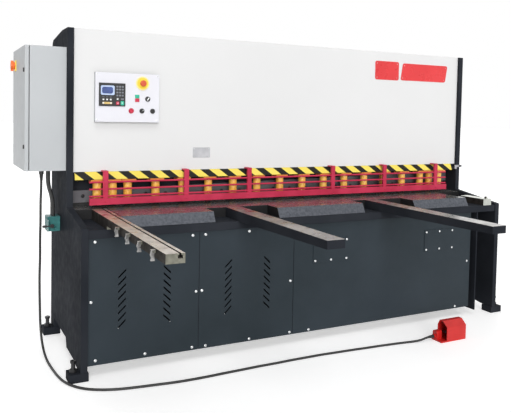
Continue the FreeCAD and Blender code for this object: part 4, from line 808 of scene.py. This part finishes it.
# %% Control box fittings
corner_spots = [(x, -34, z) for x in (-1468, -1070) for z in (1502, 1794)]
fixed_to(heads("control_box_screws", corner_spots, FORWARD, 5, 2), "frame", "black_steel", ZINC)
rings = []
for name, x, z, outer in (("red", -1247, 1564, 17.5), ("stroke", -1175, 1564, 16.5),
                          ("black", -1103, 1564, 16.5), ("mode", -1137, 1643, 17)):
    rings.append(ring(name + "_button_ring", "Y", (x, -36, z), outer, 14.2, 5, rounding=0.8))
fixed_to(joined(rings[1:], "black_button_rings"), "frame", "black_plastic", BLACK_PLASTIC)
fixed_to(rings[0], "frame", "red_plastic", CRIMSON_PLASTIC)
fixed_to(ring("emergency_rim", "Y", (-1172, -37.6, 1744), 44.5, 37, 1.6, 48), "frame", "yellow_plastic",
         PALE_YELLOW)
fixed_to(ring("emergency_collar", "Y", (-1172, -38.5, 1744), 27, 14.5, 4, 40, 1), "frame",
         "yellow_plastic", YELLOW_PLASTIC)
double = block("double_button_frame", (-1225.5, -36.5, 1620), (-1190.5, -33.8, 1672), 0)
sink(double, facing(FORWARD), 2.8, 2.2)
fixed_to(round_edges(double, 0.5), "frame", "black_plastic", PALE_PLASTIC)
print("control box rings", len(rings))

# %% [markdown]
# A selector is turned with a raised grip across its head, and a light line on the grip
# shows where it points. The grip rides on the selector's own body.

# %% Selector grips
for name, x, z, turn, body, finish_of_grip in (
        ("mode", -1137, 1643, 35, "mode_knob", ZINC), ("stroke", -1175, 1564, 35, "stroke_knob", BLACK_PLASTIC)):
    middle = at(x, -47, z)
    for part, size_x, size_y, size_z, material in (("grip", 8, 7, 23, finish_of_grip),
                                                   ("pointer", 2.2, 7.6, 11, PALE_PLASTIC)):
        lift = Vector((0, 0, 0 if part == "grip" else 6 * MM))
        bpy.ops.mesh.primitive_cube_add(size=1, location=middle + lift,
                                        scale=(size_x * MM, size_y * MM, size_z * MM))
        piece = settle(bpy.context.object, name + "_selector_" + part)
        only(piece)
        bpy.ops.object.mode_set(mode="EDIT")
        bpy.ops.mesh.select_all(action="SELECT")
        bpy.ops.transform.rotate(value=math.radians(-turn), orient_axis="Y", center_override=middle)
        done()
        round_edges(piece, 2 if part == "grip" else 0.4, 3)
        fixed_to(piece, body, "black_plastic", material)
print("selector grips made")

# %% [markdown]
# The controller is a flat keypad: a dark face, a blue display in a pale blue frame, a grid
# of grey keys, three lights, a long amber key and the coloured keys at its foot. Each key
# is a thin rounded block that stands a little proud, as a moulded membrane does.

# %% Controller face
KEY_FACE = -41.0


def key(name, x, z, width, height, material, proud=1.2, rounding=0.5):
    """A rounded key at a machine place on the controller's face"""
    piece = block(name, (x - width / 2, KEY_FACE - proud, z - height / 2),
                  (x + width / 2, KEY_FACE + 0.5, z + height / 2), 0)
    choose(piece, lambda middle, direction: abs(direction.y) > 0.9, "EDGE")
    bpy.ops.mesh.bevel(offset=min(width, height) * 0.3 * MM, segments=4, affect="EDGES")
    done()
    round_edges(piece, rounding, 2, 40)
    return fixed_to(piece, "frame", "black_plastic", material)


display_frame = block("display_frame", (-1446.7, KEY_FACE - 1.6, 1662), (-1358.2, KEY_FACE + 0.5, 1722.7), 0)
choose(display_frame, lambda middle, direction: abs(direction.y) > 0.9, "EDGE")
bpy.ops.mesh.bevel(offset=9 * MM, segments=5, affect="EDGES")
done()
sink(display_frame, facing(FORWARD), 8, 1.2)
fixed_to(round_edges(display_frame, 0.3), "frame", "black_plastic", BEZEL_BLUE)
key("display", -1403.7, 1692.4, 70, 42, SCREEN_BLUE, proud=0.9, rounding=0.2)
for index, x in enumerate((-1429.8, -1405.9, -1382.7)):
    key("light_%d" % index, x, 1633.3, 11, 10, PALE_PLASTIC)
    key("light_mark_%d" % index, x, 1649.5, 14, 3.2, KEY_GREY, proud=0.6, rounding=0.2)
key("amber_key", -1405.3, 1610.9, 62.8, 13.3, AMBER_PLASTIC)
for index, x in enumerate((-1430.4, -1381.7)):
    key("amber_end_%d" % index, x, 1610.9, 11, 10, PALE_PLASTIC, proud=1.8)
for row, z in enumerate((1716.8, 1699, 1679.8, 1660.6)):
    for column, x in enumerate((-1340.5, -1323, -1305.5)):
        key("number_key_%d_%d" % (row, column), x, z, 13, 11, KEY_GREY)
key("white_key", -1338.4, 1637.8, 11, 11, PALE_PLASTIC)
key("grey_key", -1307, 1638, 20, 9, KEY_GREY)
key("red_key_face", -1338, 1611, 20, 20, CRIMSON_PLASTIC)
key("red_key_dot", -1336, 1611, 9, 9, PINK_PLASTIC, proud=1.9)
key("green_key_face", -1307, 1612, 23, 28, GREEN_PLASTIC)
key("green_key_dot", -1308, 1613, 10, 10, MINT_PLASTIC, proud=1.9)
print("controller keys made")

# %% [markdown]
# Two red plates sit where the maker's sign would be, and a small silver plate where a
# notice would be. They are left plain: a thin plate with rounded corners, a shallow rim
# and a rivet in each corner. The long plate leans, so its upper face is moved sideways.

# %% Plain plates


def plain_plate(name, low_x, high_x, low_z, high_z, lean, material, corner=10, thick=2.0):
    piece = block(name, (low_x, -thick, low_z), (high_x, 0.3, high_z), 0)
    choose(piece, lambda middle, direction: abs(direction.y) > 0.9, "EDGE")
    bpy.ops.mesh.bevel(offset=corner * MM, segments=5, affect="EDGES")
    done()
    sink(piece, facing(FORWARD), 4, 0.6)
    if lean:
        only(piece)
        bpy.ops.object.mode_set(mode="EDIT")
        bpy.ops.mesh.select_mode(type="VERT")
        bpy.ops.mesh.select_all(action="DESELECT")
        mesh = bmesh.from_edit_mesh(piece.data)
        middle_z = at(0, 0, (low_z + high_z) / 2).z
        for corner_point in mesh.verts:
            corner_point.co.x += (corner_point.co.z - middle_z) * lean
        bmesh.update_edit_mesh(piece.data)
        done()
    round_edges(piece, 0.4)
    fixed_to(piece, "frame", "cover_paint", material)
    inset = corner + 3
    middle_z = (low_z + high_z) / 2
    spots = [(x + (z - middle_z) * lean, -thick + 0.8, z) for x in (low_x + inset, high_x - inset)
             for z in (low_z + inset, high_z - inset)]
    return fixed_to(heads(name + "_rivets", spots, FORWARD, 3, 1.6, socket=0), "frame", "black_steel", ZINC)


plain_plate("square_plate", 737, 974, 1855, 2003, 0.0, PLATE_RED, 16)
plain_plate("long_plate", 1004, 1481, 1858, 1996, 0.16, PLATE_RED, 16)
plain_plate("small_plate", -800, -672, 1251, 1321, 0.0, PLATE_SILVER, 5, 1.5)
print("plain plates made")

# %% [markdown]
# The cable leaves its gland through a strain relief, a ribbed rubber sleeve that gets
# thinner toward the cable, so that the cable can't be bent sharply at the clamp. A cone
# is divided along its length and every second band is sunk.

# %% Strain reliefs


def strain_relief(name, axis, wide_end, direction, length=42):
    """A ribbed taper from a machine point along a direction"""
    middle = Vector(wide_end) + direction * length / 2
    turn = direction.to_track_quat("Z", "Y").to_euler()
    bpy.ops.mesh.primitive_cone_add(vertices=24, radius1=12.5 * MM, radius2=8.6 * MM, depth=length * MM,
                                    location=at(*middle), rotation=turn)
    cone = settle(bpy.context.object, name)
    for step in range(1, 12):
        only(cone)
        bpy.ops.object.mode_set(mode="EDIT")
        bpy.ops.mesh.select_all(action="SELECT")
        bpy.ops.mesh.bisect(plane_co=at(*(Vector(wide_end) + direction * length * step / 12)),
                            plane_no=direction)
        done()
    start = at(*wide_end)

    def every_second(middle, normal):
        along = (middle - start).dot(direction) / (length * MM)
        return abs(normal.dot(direction)) < 0.5 and int(along * 12) % 2 == 1
    choose(cone, every_second)
    bpy.ops.mesh.extrude_region_shrink_fatten(TRANSFORM_OT_shrink_fatten={"value": -0.9 * MM})
    done()
    return round_edges(cone, 0.3, 2, 40)


DOWNWARD = Vector((0, 0, -1))
upper_relief = fixed_to(strain_relief("cabinet_strain_relief", "Z", (-1785, 100, 1154), DOWNWARD), "frame",
                        "cable_rubber", RUBBER)
lower_relief = fixed_to(strain_relief("switch_strain_relief", "X", (725, -757, 30), LEFTWARD), "frame",
                        "cable_rubber", RUBBER)
print("strain reliefs made")

# %% [markdown]
# Behind the cabinet door are a zinc back plate, wiring ducts and rows of generic
# switchgear on rails. The door can open, so they are seen. The devices are small blocks
# with a stepped front, modelled once and copied along each rail.

# %% Cabinet interior
plate = block("switchgear_plate", (-1657, 50, 1225), (-1655.2, 560, 1910), 0.4)
fixed_to(plate, "frame", "cabinet_paint", BRASS)
ducts = []
for low, high in (((-1700, 60, 1890), (-1657, 550, 1906)), ((-1700, 60, 1700), (-1657, 550, 1725)),
                  ((-1700, 60, 1480), (-1657, 550, 1505)), ((-1700, 60, 1230), (-1657, 550, 1255)),
                  ((-1700, 60, 1255), (-1657, 85, 1890)), ((-1700, 525, 1255), (-1657, 550, 1890))):
    duct = block("duct", low, high, 0)
    only(duct)
    bpy.ops.object.mode_set(mode="EDIT")
    bpy.ops.mesh.select_all(action="SELECT")
    bpy.ops.mesh.subdivide(number_cuts=15, smoothness=0)
    done()
    ducts.append(duct)
for duct in ducts:
    only(duct)
    bpy.ops.object.mode_set(mode="EDIT")
    bpy.ops.mesh.select_all(action="SELECT")
    bpy.ops.mesh.dissolve_limited(angle_limit=math.radians(1))
    done()
    round_edges(duct, 1, 1)
fixed_to(joined(ducts, "wiring_ducts"), "frame", "cabinet_paint", DUCT_GREY)
rails = [block("rail", (-1664, 90, z - 17), (-1657, 520, z + 17), 1) for z in (1800, 1590, 1370)]
fixed_to(joined(rails, "device_rails"), "frame", "black_steel", ZINC)


def device(name, y, z, width, height, depth, step):
    """A switchgear block with a stepped front"""
    body = block(name, (-1664 - depth, y, z - height / 2), (-1663, y + width, z + height / 2), 0)
    choose(body, facing(LEFTWARD))
    bpy.ops.mesh.inset(thickness=width * 0.12 * MM)
    bpy.ops.mesh.extrude_region_move(TRANSFORM_OT_translate={"value": (-step * MM, 0, 0)})
    done()
    return round_edges(body, 1, 2)


for row, (z, width, height, depth, step, count, material) in enumerate((
        (1800, 18, 84, 44, 14, 12, PALE_PLASTIC), (1590, 45, 82, 74, 12, 6, BLACK_PLASTIC),
        (1370, 27, 90, 60, 10, 8, DUCT_GREY))):
    first = device("devices_%d" % row, 110, z, width, height, depth, step)
    shifts = [(0, (width + 2) * index, 0) for index in range(1, count)]
    fixed_to(repeated(first, "devices_%d" % row, shifts), "frame", "black_plastic", material)
transformer = block("transformer", (-1740, 400, 1330), (-1662, 505, 1425), 3)
fixed_to(transformer, "frame", "black_steel", MOTOR_PAINT)
print("cabinet interior made")

# %% [markdown]
# The pump motor is a ribbed case. Its cooling ribs are one thin block that is turned
# about the shaft again and again. A terminal box and a fan cowl finish it,
# and the tank gets a filler cap, a return filter and a sight glass.

# %% Motor, tank and pipes
shaft = (500 + 170, 310, 1910)
ribs = []
for index in range(36):
    angle = math.radians(index * 10)
    if 62 < index * 10 < 118:
        continue
    place = at(*shaft) + Vector((0, math.cos(angle), math.sin(angle))) * 104 * MM
    bpy.ops.mesh.primitive_cube_add(size=1, location=place, rotation=(angle, 0, 0),
                                    scale=(250 * MM, 16 * MM, 3 * MM))
    ribs.append(round_edges(settle(bpy.context.object, "rib"), 1, 1))
fixed_to(joined(ribs, "motor_ribs"), "frame", "frame_paint", MOTOR_PAINT)
cowl = rod("fan_cowl", "X", (835, 310, 1910), 112, 70, 48, 6, 3)
sink(cowl, facing(Vector((1, 0, 0))), 30, 4)
fixed_to(cowl, "frame", "frame_paint", MOTOR_PAINT)
box_lid = block("terminal_box", (600, 258, 2000), (730, 362, 2056), 5, 3)
fixed_to(box_lid, "frame", "frame_paint", MOTOR_PAINT)
fixed_to(heads("terminal_box_screws", [(x, y, 2056) for x in (612, 718) for y in (270, 350)], UPWARD, 4, 2),
         "frame", "black_steel", ZINC)
cap = rod("filler_cap", "Z", (-600, 310, 1800), 38, 44, 40, 5, 3)
neck = rod("filler_neck", "Z", (-600, 310, 1784), 46, 12, 40, 2)
fixed_to(joined([cap, neck], "filler_cap"), "frame", "black_plastic", BLACK_PLASTIC)
filter_case = rod("return_filter", "Z", (-250, 310, 1815), 52, 74, 40, 7, 3)
filter_flange = rod("return_filter_flange", "Z", (-250, 310, 1785), 70, 14, 40, 2)
fixed_to(joined([filter_case, filter_flange], "return_filter"), "frame", "black_steel", ZINC)
glass = block("sight_glass", (-40, 468, 1610), (-12, 482, 1735), 5, 3)
fixed_to(glass, "frame", "black_plastic", PALE_GLASS)
fixed_to(heads("sight_glass_bolts", [(-26, 482, z) for z in (1622, 1723)], BACKWARD, 8, 4), "frame",
         "black_steel", ZINC)
lid_spots = [(x, y, 1780) for x in range(-1060, 1061, 212) for y in (168, 452)]
fixed_to(heads("tank_lid_bolts", lid_spots, UPWARD, 8, 4), "frame", "black_steel", ZINC)
for side, sign in (("left", -1), ("right", 1)):
    pipe = round_line(side + "_pressure_pipe", (
        (sign * 1095, 250, 1640), (sign * 1180, 250, 1640), (sign * 1380, 250, 1640),
        (sign * 1450, 250, 1640), (sign * 1450, 250, 1610), (sign * 1450, 250, 1556)), 0.018)
    pipe.data.materials.append(ZINC)
    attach(pipe, "frame")
    nut = rod(side + "_pipe_nut", "Z", (sign * 1450, 250, 1574), 19, 28, 6, 1.5)
    flange = rod(side + "_pipe_flange", "Z", (sign * 1450, 250, 1563), 42, 8, 32, 1.5)
    union = rod(side + "_pipe_union", "X", (sign * 1108, 250, 1640), 19, 26, 6, 1.5)
    fixed_to(joined([nut, flange, union], side + "_pipe_fittings"), "frame", "black_steel", ZINC)
print("motor, tank and pipes made")

# %% [markdown]
# The teal valve box on the left frame has a cover plate with a screw in each corner and a
# black hand lever. The end of the cover is held to the right frame by a small bracket.

# %% Valve box and bracket
FRAME_EDGE = -20
cover_plate = block("valve_cover", (-1733, 145, 778), (-1729.5, 285, 849), 0)
sink(cover_plate, facing(LEFTWARD), 8, 1)
fixed_to(round_edges(cover_plate, 0.8), "frame", "teal_paint", TEAL_PAINT)
fixed_to(heads("valve_cover_screws", [(-1733, y, z) for y in (152, 278) for z in (784, 843)], LEFTWARD, 4, 2),
         "frame", "black_steel", ZINC)
hub = rod("valve_lever_hub", "Y", (-1712, 126, 812), 13, 10, 24, 1.5)
stem = rod("valve_lever_stem", "X", (-1731, 123, 812), 4.5, 44, 16, 1)
grip = rod("valve_lever_grip", "X", (-1760, 123, 812), 8, 26, 20, 3, 3)
fixed_to(joined([hub, stem, grip], "valve_lever"), "frame", "black_plastic", BLACK_PLASTIC)
bracket = block("cover_bracket", (1588, FRAME_EDGE - 8, 1142), (1672, FRAME_EDGE + 1, 1160), 1.5)
bracket_foot = block("cover_bracket_foot", (1588, FRAME_EDGE - 8, 1126), (1612, FRAME_EDGE + 30, 1144), 1.5)
fixed_to(joined([bracket, bracket_foot], "cover_bracket"), "frame", "black_steel", PLATE_SILVER)
fixed_to(heads("cover_bracket_bolt", [(1646, FRAME_EDGE - 8, 1151)], FORWARD, 9, 7), "frame", "black_steel",
         BLACK_OXIDE)
print("valve box and bracket made")

# %% [markdown]
# A studio floor that runs to the horizon and a pale world give the plain white surround of
# a catalogue photograph. The world is pure white to the camera and in reflections, and a
# softer light grey to everything that it lights.

# %% Floor, world and lamps
FLOOR_LIFT = 0.44
bpy.ops.mesh.primitive_plane_add(size=160, location=(0, 0, 0))
floor = settle(bpy.context.object, "studio_floor")
floor_paint = finish("studio floor", (0.88, 0.88, 0.88), (0.89, 0.89, 0.89), (0.6, 0.7), clouds=0.5, bump=0.02)
floor.data.materials.append(floor_paint)
floor_tree = floor_paint.node_tree
floor_rays = floor_tree.nodes.new("ShaderNodeLightPath")
shown = floor_tree.nodes.new("ShaderNodeMath")
shown.operation = "MAXIMUM"
wire(floor_tree, floor_rays.outputs["Is Camera Ray"], shown.inputs[0])
wire(floor_tree, floor_rays.outputs["Is Glossy Ray"], shown.inputs[1])
glow = floor_tree.nodes.new("ShaderNodeMath")
glow.operation = "MULTIPLY"
glow.inputs[1].default_value = FLOOR_LIFT
wire(floor_tree, shown.outputs["Value"], glow.inputs[0])
floor_shader = floor_tree.nodes["Principled BSDF"]
floor_shader.inputs["Emission Color"].default_value = (1, 1, 1, 1)
wire(floor_tree, glow.outputs["Value"], floor_shader.inputs["Emission Strength"])

world = bpy.data.worlds.new("studio")
bpy.context.scene.world = world
world.use_nodes = True
sky = world.node_tree
rays = sky.nodes.new("ShaderNodeLightPath")
lit = sky.nodes["Background"]
lit.inputs["Color"].default_value = (1.0, 1.0, 1.0, 1)
lit.inputs["Strength"].default_value = 0.38
seen = sky.nodes.new("ShaderNodeBackground")
seen.inputs["Color"].default_value = (1, 1, 1, 1)
seen.inputs["Strength"].default_value = 1.0
either = sky.nodes.new("ShaderNodeMixShader")
plain = sky.nodes.new("ShaderNodeMath")
plain.operation = "MAXIMUM"
wire(sky, rays.outputs["Is Camera Ray"], plain.inputs[0])
wire(sky, rays.outputs["Is Glossy Ray"], plain.inputs[1])
wire(sky, plain.outputs["Value"], either.inputs["Fac"])
wire(sky, lit.outputs["Background"], either.inputs[1])
wire(sky, seen.outputs["Background"], either.inputs[2])
wire(sky, either.outputs["Shader"], sky.nodes["World Output"].inputs["Surface"])


def sun(name, azimuth, elevation, strength, spread):
    """A soft sun; azimuth turns from the front of the machine to its right"""
    bpy.ops.object.light_add(type="SUN")
    lamp = bpy.context.object
    lamp.name = name
    lamp.rotation_euler = (math.radians(90 - elevation), 0, math.radians(azimuth))
    lamp.data.energy = strength
    lamp.data.angle = math.radians(spread)
    return lamp


sun("key", -14, 55, 0.8, 30)
sun("front fill", -14, 12, 1.7, 30)
sun("back fill", 160, 28, 0.8, 60)
bpy.context.scene.view_settings.view_transform = "Standard"
print("floor, world and lamps ready")
